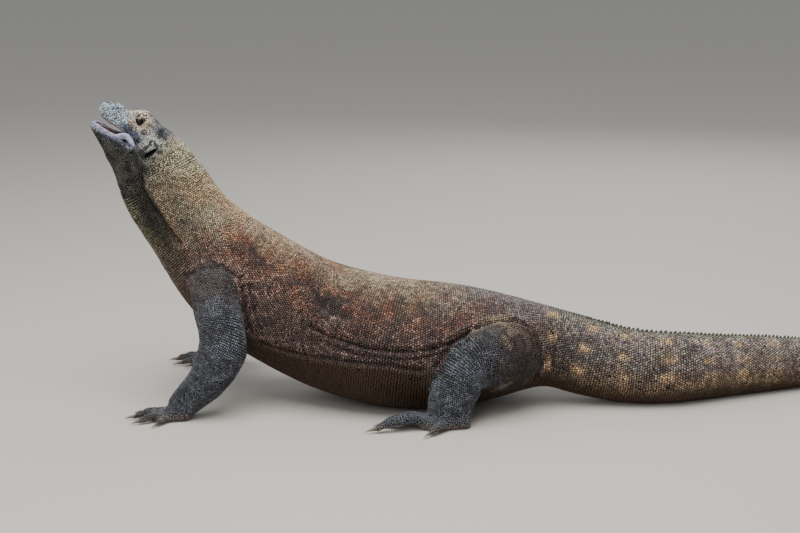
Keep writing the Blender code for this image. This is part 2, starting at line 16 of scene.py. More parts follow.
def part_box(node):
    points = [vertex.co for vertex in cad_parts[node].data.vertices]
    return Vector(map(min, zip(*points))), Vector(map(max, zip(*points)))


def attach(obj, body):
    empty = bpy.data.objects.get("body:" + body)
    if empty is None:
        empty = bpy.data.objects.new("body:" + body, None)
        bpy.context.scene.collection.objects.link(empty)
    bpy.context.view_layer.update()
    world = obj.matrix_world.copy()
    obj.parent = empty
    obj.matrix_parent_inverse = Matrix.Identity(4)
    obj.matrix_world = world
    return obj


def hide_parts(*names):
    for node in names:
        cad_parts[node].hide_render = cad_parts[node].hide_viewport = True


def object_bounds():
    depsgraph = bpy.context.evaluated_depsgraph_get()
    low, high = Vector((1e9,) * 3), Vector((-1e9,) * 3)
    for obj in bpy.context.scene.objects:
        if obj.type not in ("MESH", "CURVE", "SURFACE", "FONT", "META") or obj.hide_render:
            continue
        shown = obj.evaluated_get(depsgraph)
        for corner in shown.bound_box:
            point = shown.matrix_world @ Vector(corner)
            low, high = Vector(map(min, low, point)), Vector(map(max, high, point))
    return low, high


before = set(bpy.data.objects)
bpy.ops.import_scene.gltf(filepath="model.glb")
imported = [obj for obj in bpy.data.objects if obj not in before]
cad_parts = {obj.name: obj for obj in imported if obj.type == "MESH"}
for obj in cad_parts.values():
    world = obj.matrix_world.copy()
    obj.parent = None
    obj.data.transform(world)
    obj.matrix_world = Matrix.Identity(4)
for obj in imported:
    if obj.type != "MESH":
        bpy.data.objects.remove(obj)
CAD_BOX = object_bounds()

bl_info = {
    "name": "Komodo dragon",
    "version": (1, 0, 0),
    "blender": (4, 5, 0),
    "location": "3D View > Sidebar > Dragon",
    "description": "Builds a life-size komodo dragon over its solid frame",
    "category": "Object",
}

SIDES = ("left", "right")
TRUNK = ("neck_upper", "neck_lower", "chest", "trunk_front", "trunk_rear", "pelvis")
TAIL = ("tail_1", "tail_2", "tail_3", "tail_4", "tail_5", "tail_6")
ARMS = tuple(f"{part}_{side}" for side in SIDES for part in ("upper_arm", "forearm"))
LEGS = tuple(f"{part}_{side}" for side in SIDES for part in ("thigh", "shank"))
PAWS = tuple(f"{part}_{side}" for side in SIDES for part in ("hand", "foot"))
FLESH = ("head", "lower_jaw") + TRUNK + TAIL + ARMS + LEGS + PAWS
EYES = ("eye_left", "eye_right")
LIMB_PARTS = {f"arm_{side}": [f"upper_arm_{side}", f"forearm_{side}", f"hand_{side}"] for side in SIDES}
LIMB_PARTS.update({f"leg_{side}": [f"thigh_{side}", f"shank_{side}", f"foot_{side}"] for side in SIDES})

# How far each part of the flesh is smoothed out, in metres.
SOFTNESS = {"head": 0.0027, "lower_jaw": 0.0025}
SOFTNESS.update({name: 0.026 for name in TRUNK + TAIL})
SOFTNESS.update({name: 0.015 for name in ARMS + LEGS})
SOFTNESS.update({name: 0.0052 for name in PAWS})
SOFTNESS.update({"neck_upper": 0.019, "tail_5": 0.018, "tail_6": 0.012})

# The same between the throat and the jaw, and how much more it is round the roots of the limbs.
THROAT_SOFTNESS, ROOT_SOFTNESS = 0.017, 0.007

# The head's own axes, and the middle of its eyes in them.
HEAD_PITCH = math.radians(37)
FORWARD = Vector((-math.cos(HEAD_PITCH), 0, math.sin(HEAD_PITCH)))
CROWN = Vector((math.sin(HEAD_PITCH), 0, math.cos(HEAD_PITCH)))
LEFT = Vector((0, -1, 0))
EYE_FORWARD = 0.0475
EYE_RISE = 0.0265
EYE_RADIUS = 0.0110

# Points along a spine between two knots, and the most neighbours that smoothing looks at.
SPAN_STEPS = 60
MOST_NEIGHBOURS = 6
MOST_ROUNDS = 900
# A skin with fewer faces than this has come apart.
FEWEST_FACES = 50000
BLOCK = 4000

# How far solids are swollen before they are joined, so that neighbours overlap.
SWELL = 0.00035
# How near two solids' faces lie where they meet, in the body, at a limb's root and at a claw.
SEAM, LIMB_SEAM, CLAW_SEAM = 0.0012, 0.0015, 0.0006
# How far short of the join each half of the skin is cut.
JOIN_GAP = 0.002
# How much fuller the throat is than its smoothed solid.
THROAT_FULL = 0.0025
# The lowest that the skin and the scales reach over the floor.
SKIN_FLOOR, SCALE_FLOOR = 0.0004, 0.0003


def srgb(red, green, blue):
    """A colour given as it looks, from 0 to 255, turned into linear light."""
    tone = np.array((red, green, blue)) / 255
    return tuple(np.where(tone <= 0.04045, tone / 12.92, ((tone + 0.055) / 1.055) ** 2.4))


# ---- settings


def length(name, description, default):
    unit = {"subtype": "DISTANCE", "unit": "LENGTH"}
    return FloatProperty(name=name, description=description, default=default, min=0, **unit)


def factor(name, description, default, high=1.0):
    span = {"min": 0, "max": high, "subtype": "FACTOR"}
    return FloatProperty(name=name, description=description, default=default, **span)


def tint(name, description, default):
    span = {"min": 0, "max": 1, "subtype": "COLOR"}
    return FloatVectorProperty(name=name, description=description, default=default, **span)


def measure(name, description, default, low, unit, **extra):
    return FloatProperty(name=name, description=description, default=default, min=low, unit=unit, **extra)


class HideSettings(bpy.types.PropertyGroup):
    body_voxel: length("Body voxel", "Grid of the skin on the body and the legs", 0.0044)
    head_voxel: length("Head voxel", "Grid of the skin on the head", 0.0015)
    coat_depth: length("Coat depth", "How deep the skin lies under the body's scale tops", 0.0012)
    head_depth: length("Head coat depth", "How deep the skin lies under the head's scale tops", 0.0007)
    folds: factor("Folds", "Strength of the skin folds", 1.0, high=2.0)


class ScaleSettings(bpy.types.PropertyGroup):
    head: length("Head scales", "Width of a scale on the head", 0.0034)
    neck: length("Neck scales", "Width of a bead on the neck", 0.0052)
    trunk: length("Trunk scales", "Width of a bead on the trunk", 0.0058)
    limb: length("Limb scales", "Width of a scale on the arms and legs", 0.0050)
    paw: length("Paw scales", "Width of a scale on the hands and feet", 0.0042)
    tail: length("Tail scales", "Width of a scale on the tail", 0.0062)
    gap: factor("Gap", "Part of a scale's width left open round it", 0.09)
    dome: factor("Dome", "Height of a bead as a part of its width", 0.27)
    crest: length("Crest", "Height of the fins along the top of the tail", 0.0075)


class ColourSettings(bpy.types.PropertyGroup):
    cream: tint("Cream", "Pale beads of the back and the shoulder", srgb(198, 176, 144))
    tan: tint("Tan", "Beads of the neck", srgb(162, 152, 124))
    ochre: tint("Ochre", "Warm beads low on the neck and the tail's spots", srgb(176, 136, 96))
    rose: tint("Rose", "Pinkish beads among the dark ones of the flank", srgb(178, 146, 128))
    rust: tint("Rust", "Reddish patches of the back", srgb(150, 92, 62))
    umber: tint("Umber", "Beads of the flank", srgb(98, 78, 70))
    ash: tint("Ash", "Greyish beads of the hip and the tail", srgb(124, 114, 113))
    # Soot also paints the shade at the folds' bottoms and in the creases, and in the lid openings, the ear
    # slots and the nostrils.
    soot: tint("Soot", "Dark skin between the beads, and dark patches", srgb(26, 22, 21))
    # The belly's brown is made darker than the hide's own, as painted shade under the body.
    belly: tint("Belly", "Smooth hide of the belly", srgb(57, 37, 18))
    moss: tint("Moss", "Dull green of the throat and the tail's crest", srgb(86, 86, 70))
    slate: tint("Slate", "Grey-blue scales of the legs and the face", srgb(84, 86, 93))
    pale: tint("Pale slate", "Pale scales of the snout and the cheeks", srgb(176, 192, 202))
    lilac: tint("Lilac", "The lips along the mouth", srgb(182, 186, 212))
    dust: tint("Dust", "Dry dust on the toes and the belly", srgb(140, 118, 98))


class EyeSettings(bpy.types.PropertyGroup):
    opening: length("Lid opening", "Half the length of the opening between the lids", 0.0094)
    opening_height: length("Lid height", "Half the height of the opening between the lids", 0.0072)
    lid: length("Lid", "Thickness of the lids over the eyeball", 0.0013)
    iris: tint("Iris", "Colour of the iris", srgb(32, 21, 13))


class ClawSettings(bpy.types.PropertyGroup):
    horn: tint("Horn", "Colour of the claws", srgb(66, 58, 52))
    tip: tint("Tip", "Worn colour of the claws' tips", srgb(150, 136, 120))


class MouthSettings(bpy.types.PropertyGroup):
    gum: tint("Gum", "Colour of the gums along the jaws", srgb(150, 144, 168))
    flesh: tint("Flesh", "Colour of the mouth's lining", srgb(66, 30, 38))
    corner: tint("Corner", "Colour of the soft corners of the mouth", srgb(190, 190, 216))
    # The throat colour is painted shade at the back of the mouth.
    throat: tint("Throat", "Colour at the back of the mouth", srgb(10, 7, 8))


class StageSettings(bpy.types.PropertyGroup):
    floor: tint("Floor", "Colour of the floor", srgb(176, 170, 162))
    key: measure("Key light", "Power of the large light overhead", 230.0, 0, "POWER")
    fill: measure("Fill light", "Power of the lights in front and behind", 60.0, 0, "POWER")
    sky: factor("Sky", "Strength of the light from all round", 0.55, high=3.0)
    lens: measure("Lens", "Focal length of the camera", 75.0, 20, "CAMERA")
    distance: length("Distance", "Distance of the camera from its target", 4.0)
    elevation: measure(
        "Elevation", "Height of the camera", math.radians(12.5), 0, "ROTATION", subtype="ANGLE"
    )


SETTINGS = {
    "dragon_hide": HideSettings,
    "dragon_scales": ScaleSettings,
    "dragon_colours": ColourSettings,
    "dragon_eyes": EyeSettings,
    "dragon_claws": ClawSettings,
    "dragon_mouth": MouthSettings,
    "dragon_stage": StageSettings,
}


def settings(name):
    return getattr(bpy.context.scene, f"dragon_{name}")


# ---- meshes as arrays


def arrays(mesh):
    """A mesh's points and triangles."""
    points = np.empty(len(mesh.vertices) * 3, np.float32)
    mesh.vertices.foreach_get("co", points)
    mesh.calc_loop_triangles()
    triangles = np.empty(len(mesh.loop_triangles) * 3, np.int32)
    mesh.loop_triangles.foreach_get("vertices", triangles)
    return points.reshape(-1, 3).astype(float), triangles.reshape(-1, 3)


def solid(name):
    """A node's points and triangles, with its split corners joined again."""
    points, triangles = arrays(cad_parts[name].data)
    keys = np.round(points / 1e-5).astype(np.int64)
    _, first, index = np.unique(keys, axis=0, return_index=True, return_inverse=True)
    return points[first], index.reshape(-1)[triangles]


def tree_of(points, triangles):
    return BVHTree.FromPolygons(points.tolist(), triangles.tolist())


def outward(points, triangles):
    """The smooth normal at each point."""
    corners = points[triangles]
    facing = np.cross(corners[:, 1] - corners[:, 0], corners[:, 2] - corners[:, 0])
    total = np.zeros_like(points)
    for axis in range(3):
        for corner in range(3):
            total[:, axis] += np.bincount(triangles[:, corner], facing[:, axis], len(points))
    return total / np.maximum(np.linalg.norm(total, axis=1, keepdims=True), 1e-12)


def touching(points, tree, reach):
    """The points that lie within reach of a tree's surface."""
    return np.array([point for point in points if tree.find_nearest(Vector(point), reach)[0] is not None])


def meeting(name, other):
    """The middle of the ring in which one node meets another."""
    points, _ = solid(name)
    ring = touching(points, tree_of(*solid(other)), SEAM)
    return (ring.min(axis=0) + ring.max(axis=0)) / 2


def kd_tree(points):
    """A tree that finds the nearest of some points."""
    tree = KDTree(len(points))
    for index, point in enumerate(points):
        tree.insert(point, index)
    tree.balance()
    return tree


def new_piece(name, mesh, *, replaces=()):
    piece = bpy.data.objects.new(name, mesh)
    bpy.context.scene.collection.objects.link(piece)
    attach(piece, "root")
    if replaces:
        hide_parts(*replaces)
    return piece


def mesh_from(name, points, faces, smooth=True):
    """A mesh from points and a list of face arrays, each with the same number of corners in every row."""
    mesh = bpy.data.meshes.new(name)
    corners = np.concatenate([block.reshape(-1) for block in faces])
    sizes = np.concatenate([np.full(len(block), block.shape[1]) for block in faces])
    mesh.vertices.add(len(points))
    mesh.vertices.foreach_set("co", np.ascontiguousarray(points, np.float32).reshape(-1))
    mesh.loops.add(len(corners))
    mesh.loops.foreach_set("vertex_index", corners.astype(np.int32))
    mesh.polygons.add(len(sizes))
    mesh.polygons.foreach_set("loop_start", (np.cumsum(sizes) - sizes).astype(np.int32))
    mesh.update(calc_edges=True)
    mesh.polygons.foreach_set("use_smooth", np.full(len(sizes), smooth))
    return mesh


def write_colours(mesh, name, colours):
    layer = mesh.attributes.new(name, "FLOAT_COLOR", "POINT")
    opaque = np.hstack([colours, np.ones((len(colours), 1))])
    layer.data.foreach_set("color", opaque.astype(np.float32).reshape(-1))


def write_values(mesh, name, values):
    layer = mesh.attributes.new(name, "FLOAT", "POINT")
    layer.data.foreach_set("value", np.asarray(values, np.float32))


def read_values(mesh, name):
    values = np.empty(len(mesh.vertices), np.float32)
    mesh.attributes[name].data.foreach_get("value", values)
    return values


def move_points(mesh, points):
    """Gives a mesh's points new places, and shades it smooth."""
    mesh.vertices.foreach_set("co", points.astype(np.float32).reshape(-1))
    mesh.polygons.foreach_set("use_smooth", np.ones(len(mesh.polygons), bool))
    mesh.update()


# ---- noise and blending


def noise(points, size, seed=0):
    """Smooth noise from 0 to 1, with lumps about `size` across."""
    place = points / size
    cell = np.floor(place).astype(np.int64)
    part = place - cell
    part = part * part * (3 - 2 * part)
    total = np.zeros(len(points))
    for corner in itertools.product((0, 1), repeat=3):
        x, y, z = (cell + corner).T
        key = (x * 73856093 ^ y * 19349663 ^ z * 83492791 ^ (seed + 1) * 2654435761) & 0xFFFFFFFF
        key = ((key ^ (key >> 15)) * 2246822519) & 0xFFFFFFFF
        key = ((key ^ (key >> 13)) * 3266489917) & 0xFFFFFFFF
        value = ((key ^ (key >> 16)) & 0xFFFF) / 65535
        total += value * np.prod(np.where(corner, part, 1 - part), axis=1)
    return total


def layered(points, size, seed=0, layers=3):
    """Noise with finer lumps added."""
    total = sum(noise(points, size / 2**layer, seed + 17 * layer) / 2**layer for layer in range(layers))
    return total / (2 - 2.0 ** (1 - layers))


def step(low, high, values):
    """0 below low, 1 above high, and smooth between."""
    part = np.clip((values - low) / (high - low), 0, 1)
    return part * part * (3 - 2 * part)


def bell(values, middle, width):
    return np.exp(-(((values - middle) / width) ** 2))


def toward(colours, other, amount):
    """Colours moved toward another one, by an amount from 0 to 1 for each."""
    return colours + (np.asarray(other) - colours) * np.asarray(amount)[:, None]


def mixed(first, second, amount):
    """A blend of two plain colours for each amount."""
    return toward(np.array(first)[None], second, amount)


# ---- the axes that the hide follows


def curve_point(a, b, c, d, t):
    """A point between b and c on the smooth curve through four knots."""
    return 0.5 * (2 * b + (c - a) * t + (2 * a - 5 * b + 4 * c - d) * t**2 + (3 * b - a - 3 * c + d) * t**3)


class Spine:
    """A smooth line through knots, with a station number, an up and a left at each of its points."""

    def __init__(self, knots, first_station, reference):
        knots = [np.asarray(knot, float) for knot in knots]
        knots = [2 * knots[0] - knots[1], *knots, 2 * knots[-1] - knots[-2]]
        points, stations = [], []
        for span in range(len(knots) - 3):
            a, b, c, d = knots[span : span + 4]
            for tick in range(SPAN_STEPS + (span == len(knots) - 4)):
                t = tick / SPAN_STEPS
                points.append(curve_point(a, b, c, d, t))
                stations.append(first_station + span + t)
        self.points = np.array(points)
        self.stations = np.array(stations)
        steps = np.linalg.norm(np.diff(self.points, axis=0), axis=1)
        self.lengths = np.concatenate([[0], np.cumsum(steps)])
        self.along = np.gradient(self.points, axis=0)
        self.along /= np.linalg.norm(self.along, axis=1, keepdims=True)
        reference = np.asarray(reference, float)
        self.up = reference - (self.along @ reference)[:, None] * self.along
        self.up /= np.linalg.norm(self.up, axis=1, keepdims=True)
        self.left = np.cross(self.along, self.up)

    def locate(self, points):
        """Station, angle from the top (positive to the left), distance from the line and length along it."""
        nearest = np.empty(len(points), int)
        for start in range(0, len(points), BLOCK):
            block = points[start : start + BLOCK]
            gaps = (block**2).sum(1)[:, None] - 2 * block @ self.points.T + (self.points**2).sum(1)
            nearest[start : start + BLOCK] = gaps.argmin(axis=1)
        offset = points - self.points[nearest]
        angle = np.arctan2((offset * self.left[nearest]).sum(1), (offset * self.up[nearest]).sum(1))
        shift = (offset * self.along[nearest]).sum(1)
        rate = np.gradient(self.stations) / np.gradient(self.lengths)
        station = self.stations[nearest] + shift * rate[nearest]
        return station, angle, np.linalg.norm(offset, axis=1), self.lengths[nearest] + shift

    def at(self, length):
        """The point, along, up and left at a length."""
        index = min(int(np.searchsorted(self.lengths, length)), len(self.lengths) - 1)
        low = max(index - 1, 0)
        span = self.lengths[index] - self.lengths[low]
        part = 0 if span == 0 else (length - self.lengths[low]) / span
        fields = (self.points, self.along, self.up, self.left)
        return tuple(field[low] + part * (field[index] - field[low]) for field in fields)

    def length_at(self, station):
        return float(np.interp(station, self.stations, self.lengths))

    def surface(self, tree, station, angle):
        """Where a ray from the line at a station and an angle leaves the hide."""
        point, _, up, left = self.at(self.length_at(station))
        found = tree.ray_cast(Vector(point), Vector(up * math.cos(angle) + left * math.sin(angle)))
        return None if found[0] is None else np.array(found[0])


def head_origin():
    corners = [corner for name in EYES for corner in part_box(name)]
    return sum(corners, Vector()) / len(corners) - EYE_FORWARD * FORWARD - EYE_RISE * CROWN


def head_point(forward, left, rise):
    return head_origin() + forward * FORWARD + left * LEFT + rise * CROWN


def head_places(points):
    """Forward, left and rise of points in the head's own axes."""
    offset = points - np.array(head_origin())
    return np.stack([offset @ np.array(axis) for axis in (FORWARD, LEFT, CROWN)], axis=1)


def body_spine():
    chain = ("head",) + TRUNK + TAIL
    knots = [head_point(0.135, 0, -0.010)] + [meeting(a, b) for a, b in zip(chain, chain[1:])]
    tail, _ = solid(TAIL[-1])
    knots.append(tail[tail[:, 0].argmax()])
    return Spine(knots, -1, (0, 0, 1))


def limb_spine(root, upper, lower, paw):
    """A limb's line: station 0 in the body, 1 at its top, 2 at the elbow or knee, 3 at the wrist or ankle."""
    points, _ = solid(upper)
    seam = touching(points, tree_of(*solid(root)), LIMB_SEAM)
    top, joint, end = seam.mean(axis=0), meeting(upper, lower), meeting(lower, paw)
    return Spine([2 * top - joint * 0.9 - top * 0.1, top, joint, end, 2 * end - joint], 0, (-1, 0, 0))


# ---- the skin


def grown(names, swell):
    """One mesh of several nodes, each pushed out a little so that neighbours overlap."""
    points, triangles, count = [], [], 0
    for name in names:
        own, faces = solid(name)
        points.append(own + swell * outward(own, faces))
        triangles.append(faces + count)
        count += len(own)
    return np.concatenate(points), np.concatenate(triangles)


def remeshed(points, triangles, voxel):
    """The outer surface of overlapping solids, on an even grid."""
    source = bpy.data.objects.new("rough", mesh_from("rough", points, [triangles]))
    bpy.context.scene.collection.objects.link(source)
    grid = source.modifiers.new("grid", "REMESH")
    grid.mode = "VOXEL"
    grid.voxel_size = voxel
    grid.adaptivity = 0
    result = bpy.data.meshes.new_from_object(source.evaluated_get(bpy.context.evaluated_depsgraph_get()))
    rough = source.data
    bpy.data.objects.remove(source)
    bpy.data.meshes.remove(rough)
    return result


def largest_island(shape):
    """Deletes every island of a bmesh but the largest."""
    left, islands = set(shape.verts), []
    while left:
        start = left.pop()
        island, edge = [start], [start]
        while edge:
            vert = edge.pop()
            for link in vert.link_edges:
                other = link.other_vert(vert)
                if other in left:
                    left.discard(other)
                    island.append(other)
                    edge.append(other)
        islands.append(island)
    islands.sort(key=len)
    for island in islands[:-1]:
        bmesh.ops.delete(shape, geom=island, context="VERTS")


def cut_away(shape, point, direction):
    """Removes what lies on the far side of a plane, and leaves the cut open."""
    geometry = shape.verts[:] + shape.edges[:] + shape.faces[:]
    plane = {"plane_co": point, "plane_no": direction}
    bmesh.ops.bisect_plane(shape, geom=geometry, dist=1e-6, clear_outer=True, **plane)


def lobe(centre, radii, axes, rings=10, sides=16):
    """A closed ellipsoid as points and triangles."""
    long, wide, tall = (axis * radius for axis, radius in zip(axes, radii))
    points = [centre + long]
    for ring, side in itertools.product(range(1, rings), range(sides)):
        a, b = math.pi * ring / rings, 2 * math.pi * side / sides
        across = centre + long * math.cos(a) + wide * math.sin(a) * math.cos(b)
        points.append(across + tall * math.sin(a) * math.sin(b))
    points.append(centre - long)
    faces, last = [], len(points) - 1
    for side in range(sides):
        after = (side + 1) % sides
        faces.append((0, 1 + side, 1 + after))
        faces.append((last, last - sides + after, last - sides + side))
        for ring in range(rings - 2):
            a, b = 1 + ring * sides + side, 1 + ring * sides + after
            faces += [(a, a + sides, b + sides), (a, b + sides, b)]
    points, faces = np.array([list(point) for point in points]), np.array(faces)
    if np.linalg.det(points[faces] - points.mean(axis=0)).sum() < 0:
        faces = faces[:, ::-1]
    return points, faces


def neighbours(mesh):
    """A mesh's edges, and each point's neighbours, padded with the number after the last, and their count."""
    count = len(mesh.vertices)
    edges = np.empty(len(mesh.edges) * 2, np.int32)
    mesh.edges.foreach_get("vertices", edges)
    edges = edges.reshape(-1, 2)
    ends = np.concatenate([edges, edges[:, ::-1]])
    ends = ends[np.argsort(ends[:, 0], kind="stable")]
    valence = np.bincount(ends[:, 0], minlength=count)
    column = np.arange(len(ends)) - (np.cumsum(valence) - valence)[ends[:, 0]]
    kept = column < MOST_NEIGHBOURS
    ring = np.full((count, MOST_NEIGHBOURS), count)
    ring[ends[kept, 0], column[kept]] = ends[kept, 1]
    return edges, ring, np.clip(valence, 1, MOST_NEIGHBOURS)


def relaxed(values, ring, valence, rounds):
    """Averages each point with its neighbours, for its own number of rounds."""
    order = np.argsort(-rounds, kind="stable")
    place = np.empty(len(values) + 1, np.int32)
    place[order] = np.arange(len(values))
    place[-1] = len(values)
    links = [np.ascontiguousarray(place[column]) for column in ring[order].T]
    share = (1 / valence[order]).astype(np.float32)[:, None]
    work = np.vstack([values[order], np.zeros((1, values.shape[1]))]).astype(np.float32)
    ticks = np.arange(int(math.ceil(rounds.max())))
    for live in np.searchsorted(-rounds[order], -ticks, side="left"):
        total = work[links[0][:live]]
        for column in links[1:]:
            total += work[column[:live]]
        work[:live] = total * share[:live]
    result = np.empty(values.shape)
    result[order] = work[:-1]
    return result


def skin_mesh(hide):
    """The flesh nodes as one open grid: a fine head bridged to a coarser body."""
    nape, neck = Vector(meeting("head", "neck_upper")), Vector(meeting("neck_upper", "neck_lower"))
    direction = (nape - neck).normalized()
    join = nape.lerp(neck, 0.3)
    points, triangles = grown(("head", "lower_jaw", "neck_upper") + EYES, SWELL)
    for centre, radii, axes in head_lobes():
        more, faces = lobe(centre, radii, axes)
        triangles = np.concatenate([triangles, faces + len(points)])
        points = np.concatenate([points, more])

    joined = bmesh.new()
    body = (*grown(FLESH, SWELL), hide.body_voxel)
    for way, source in ((direction, body), (-direction, (points, triangles, hide.head_voxel))):
        part = bmesh.new()
        part.from_mesh(remeshed(*source))
        largest_island(part)
        cut_away(part, join - way * JOIN_GAP, way)
        mesh = bpy.data.meshes.new("part")
        part.to_mesh(mesh)
        part.free()
        joined.from_mesh(mesh)
        bpy.data.meshes.remove(mesh)
    bmesh.ops.bridge_loops(joined, edges=[edge for edge in joined.edges if edge.is_boundary])
    bmesh.ops.recalc_face_normals(joined, faces=joined.faces)
    whole = bpy.data.meshes.new("skin")
    joined.to_mesh(whole)
    joined.free()
    return whole


# Soft swellings on each side of the head, the brow and the jaw muscle: middle and radii in the head's axes.
LOBES = (
    ((0.0440, 0.0255, 0.0355), (0.0300, 0.0110, 0.0086)),
    ((-0.0080, 0.0370, -0.0300), (0.0300, 0.0160, 0.0240)),
)


def head_lobes():
    """The swellings that join the skin, as middle, radii and axes, on both sides of the head."""
    lobes = []
    for way in (1, -1):
        for (forward, out, rise), radii in LOBES:
            lobes.append((head_point(forward, way * out, rise), radii, (FORWARD, LEFT, CROWN)))
    return lobes


def nearest_nodes(points):
    """The index in FLESH of the node that each point lies nearest to."""
    corners, faces, owner, count = [], [], [], 0
    for index, name in enumerate(FLESH):
        own, triangles = solid(name)
        corners.append(own)
        faces.append(triangles + count)
        owner += [index] * len(triangles)
        count += len(own)
    tree = tree_of(np.concatenate(corners), np.concatenate(faces))
    return np.array([owner[tree.find_nearest(Vector(point))[2]] for point in points])


def fold_line(spine, tree, places):
    """Points a few millimetres apart along a line drawn on the hide by station and angle."""
    line = []
    for (station, angle), (next_station, next_angle) in zip(places, places[1:]):
        for part in np.linspace(0, 1, 14, endpoint=False):
            at = station + part * (next_station - station)
            at = spine.surface(tree, at, angle + part * (next_angle - angle))
            if at is not None:
                line.append(at)
    return np.array(line)


# Folds of the body: depth and width in metres, then stations along the spine and angles from the back line.
FOLDS = (
    (0.0085, 0.0075, ((-0.34, 1.74), (0.10, 1.96), (0.50, 2.02), (0.99, 1.98), (1.30, 1.92), (1.62, 1.80))),
    (0.0050, 0.0200, ((0.10, 2.15), (0.60, 2.22), (1.11, 2.26), (1.55, 2.25))),
    (
        0.0058,
        0.0062,
        ((3.22, 1.37), (3.48, 1.42), (3.81, 1.46), (4.13, 1.43), (4.37, 1.38), (4.58, 1.28), (4.80, 1.12)),
    ),
    (0.0030, 0.0055, ((3.45, 1.52), (3.75, 1.56), (4.10, 1.53), (4.35, 1.47), (4.52, 1.40))),
    (
        0.0042,
        0.0065,
        ((2.80, 2.02), (2.95, 1.93), (3.13, 1.83), (3.47, 1.71), (3.75, 1.66), (3.98, 1.62), (4.30, 1.66)),
    ),
    (0.0050, 0.0150, ((3.05, 0.78), (3.22, 0.95), (3.39, 1.10), (3.62, 1.08))),
    (
        0.0045,
        0.0068,
        ((4.40, 1.60), (4.58, 1.30), (4.79, 1.14), (4.99, 1.00), (5.17, 0.90), (5.40, 0.88), (5.62, 0.96)),
    ),
    (
        0.0045,
        0.0070,
        (
            *((1.88, 2.16), (1.91, 1.90), (1.96, 1.62), (2.10, 1.36)),
            *((2.30, 1.32), (2.42, 1.50), (2.55, 1.74), (2.70, 1.98)),
        ),
    ),
    (0.0032, 0.0055, ((2.42, 1.30), (2.52, 1.48), (2.66, 1.70), (2.80, 1.90))),
    (0.0035, 0.0070, ((5.62, 1.05), (5.72, 1.35), (5.78, 1.75), (5.70, 2.10))),
    (0.0030, 0.0060, ((5.95, 1.00), (6.02, 1.40), (6.02, 1.80))),
)


def fold_lines(spine, tree):
    """The folds as lines on the hide, on both sides of the body."""
    lines = []
    for depth, width, places in FOLDS:
        for way in (1, -1):
            line = fold_line(spine, tree, [(station, way * angle) for station, angle in places])
            if len(line):
                lines.append((line, depth, width))
    return lines


def wrinkle(along, around, seed):
    """Narrow creases that run along the first direction, from 0 to 1."""
    sheet = np.stack([along, around, np.full(len(along), 3.7 * seed)], axis=1)
    first = 1 - np.abs(2 * noise(sheet, 1.0, seed) - 1)
    second = 1 - np.abs(2 * noise(sheet * (1.7, 1.9, 1) + 5.3, 1.0, seed + 3) - 1)
    return 0.7 * first**5 + 0.3 * second**5


def wrinkle_depth(points, nodes, spines):
    """Small creases: lengthwise on the throat and the flank, ringwise on the limbs."""
    station, angle, radius, length = spines["body"].locate(points)
    side = np.abs(angle) / math.pi
    round_way = angle * radius
    body = nodes < 2 + len(TRUNK + TAIL)
    throat = step(-0.5, 0.1, station) * (1 - step(1.7, 2.1, station)) * step(0.53, 0.62, side)
    flank = step(2.5, 3.0, station) * (1 - step(4.8, 5.3, station)) * bell(side, 0.43, 0.09)
    loose = step(1.9, 2.3, station) * (1 - step(2.7, 3.1, station)) * bell(side, 0.50, 0.13)
    shift = 0.0026 * throat * wrinkle(length / 0.085, round_way / 0.013, 1)
    shift += 0.0024 * flank * wrinkle(length / 0.070, round_way / 0.013, 2)
    shift += 0.0022 * loose * wrinkle(round_way / 0.055, length / 0.013, 3)
    shift *= body
    names = np.array(FLESH)[nodes]
    for limb, parts in LIMB_PARTS.items():
        mine = np.isin(names, parts[:2])
        found, turn, thick, reach = spines[limb].locate(points[mine])
        amount = 0.0012 + 0.0014 * bell(found, 2.0, 0.35) + 0.0012 * step(1.2, 0.8, found)
        shift[mine] = amount * wrinkle(turn * thick / 0.040, reach / 0.0105, 4)
    return shift


def folded(points, lines):
    """How far each point moves outwards, for folds given as (line, depth, width)."""
    shift = np.zeros(len(points))
    for line, depth, width in lines:
        reach = 4 * width
        inside = (points > line.min(axis=0) - reach) & (points < line.max(axis=0) + reach)
        near = np.flatnonzero(inside.all(axis=1))
        if not len(near):
            continue
        gap = np.full(len(near), np.inf)
        for start in range(0, len(near), BLOCK):
            block = points[near[start : start + BLOCK]]
            gap[start : start + BLOCK] = np.sqrt(((block[:, None] - line[None]) ** 2).sum(axis=2).min(axis=1))
        shift[near] += depth * (0.45 * bell(gap, 1.9 * width, width) - bell(gap, 0, width))
    return shift


def parted(points, upper):
    """Draws the lips a little further apart ahead of the mouth's corners."""
    places = head_places(points)
    amount = bell(places[:, 0], 0.080, 0.021)
    if upper:
        shift = 0.0034 * amount * step(-0.002, -0.015, places[:, 2])
    else:
        shift = -0.0030 * amount * step(-0.064, -0.040, places[:, 2])
    return points + shift[:, None] * np.array(CROWN)


def eye_place(points, side):
    """Across, rise and depth of points from an eyeball's centre, in the head's axes."""
    low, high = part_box(f"eye_{side}")
    offset = points - np.array((low + high) / 2)
    out = 1 if side == "left" else -1
    return offset @ np.array(FORWARD), offset @ np.array(CROWN), out * (offset @ np.array(LEFT))


def lid_ratio(across, rise, eyes):
    """1 on the edge of the opening between the lids: a drop shape, pointed forward."""
    height = eyes.opening_height * (1 - 0.28 * across / eyes.opening)
    return np.sqrt((across / eyes.opening) ** 2 + (rise / np.maximum(height, 0.002)) ** 2)


# How far from an eye's middle the lids reach, where they blend into the head, and how far behind the
# eyeball's surface the skin lies in the opening.
LID_REACH, LID_BLEND, SKIN_BEHIND = 0.022, (0.0088, 0.0124), 0.0028


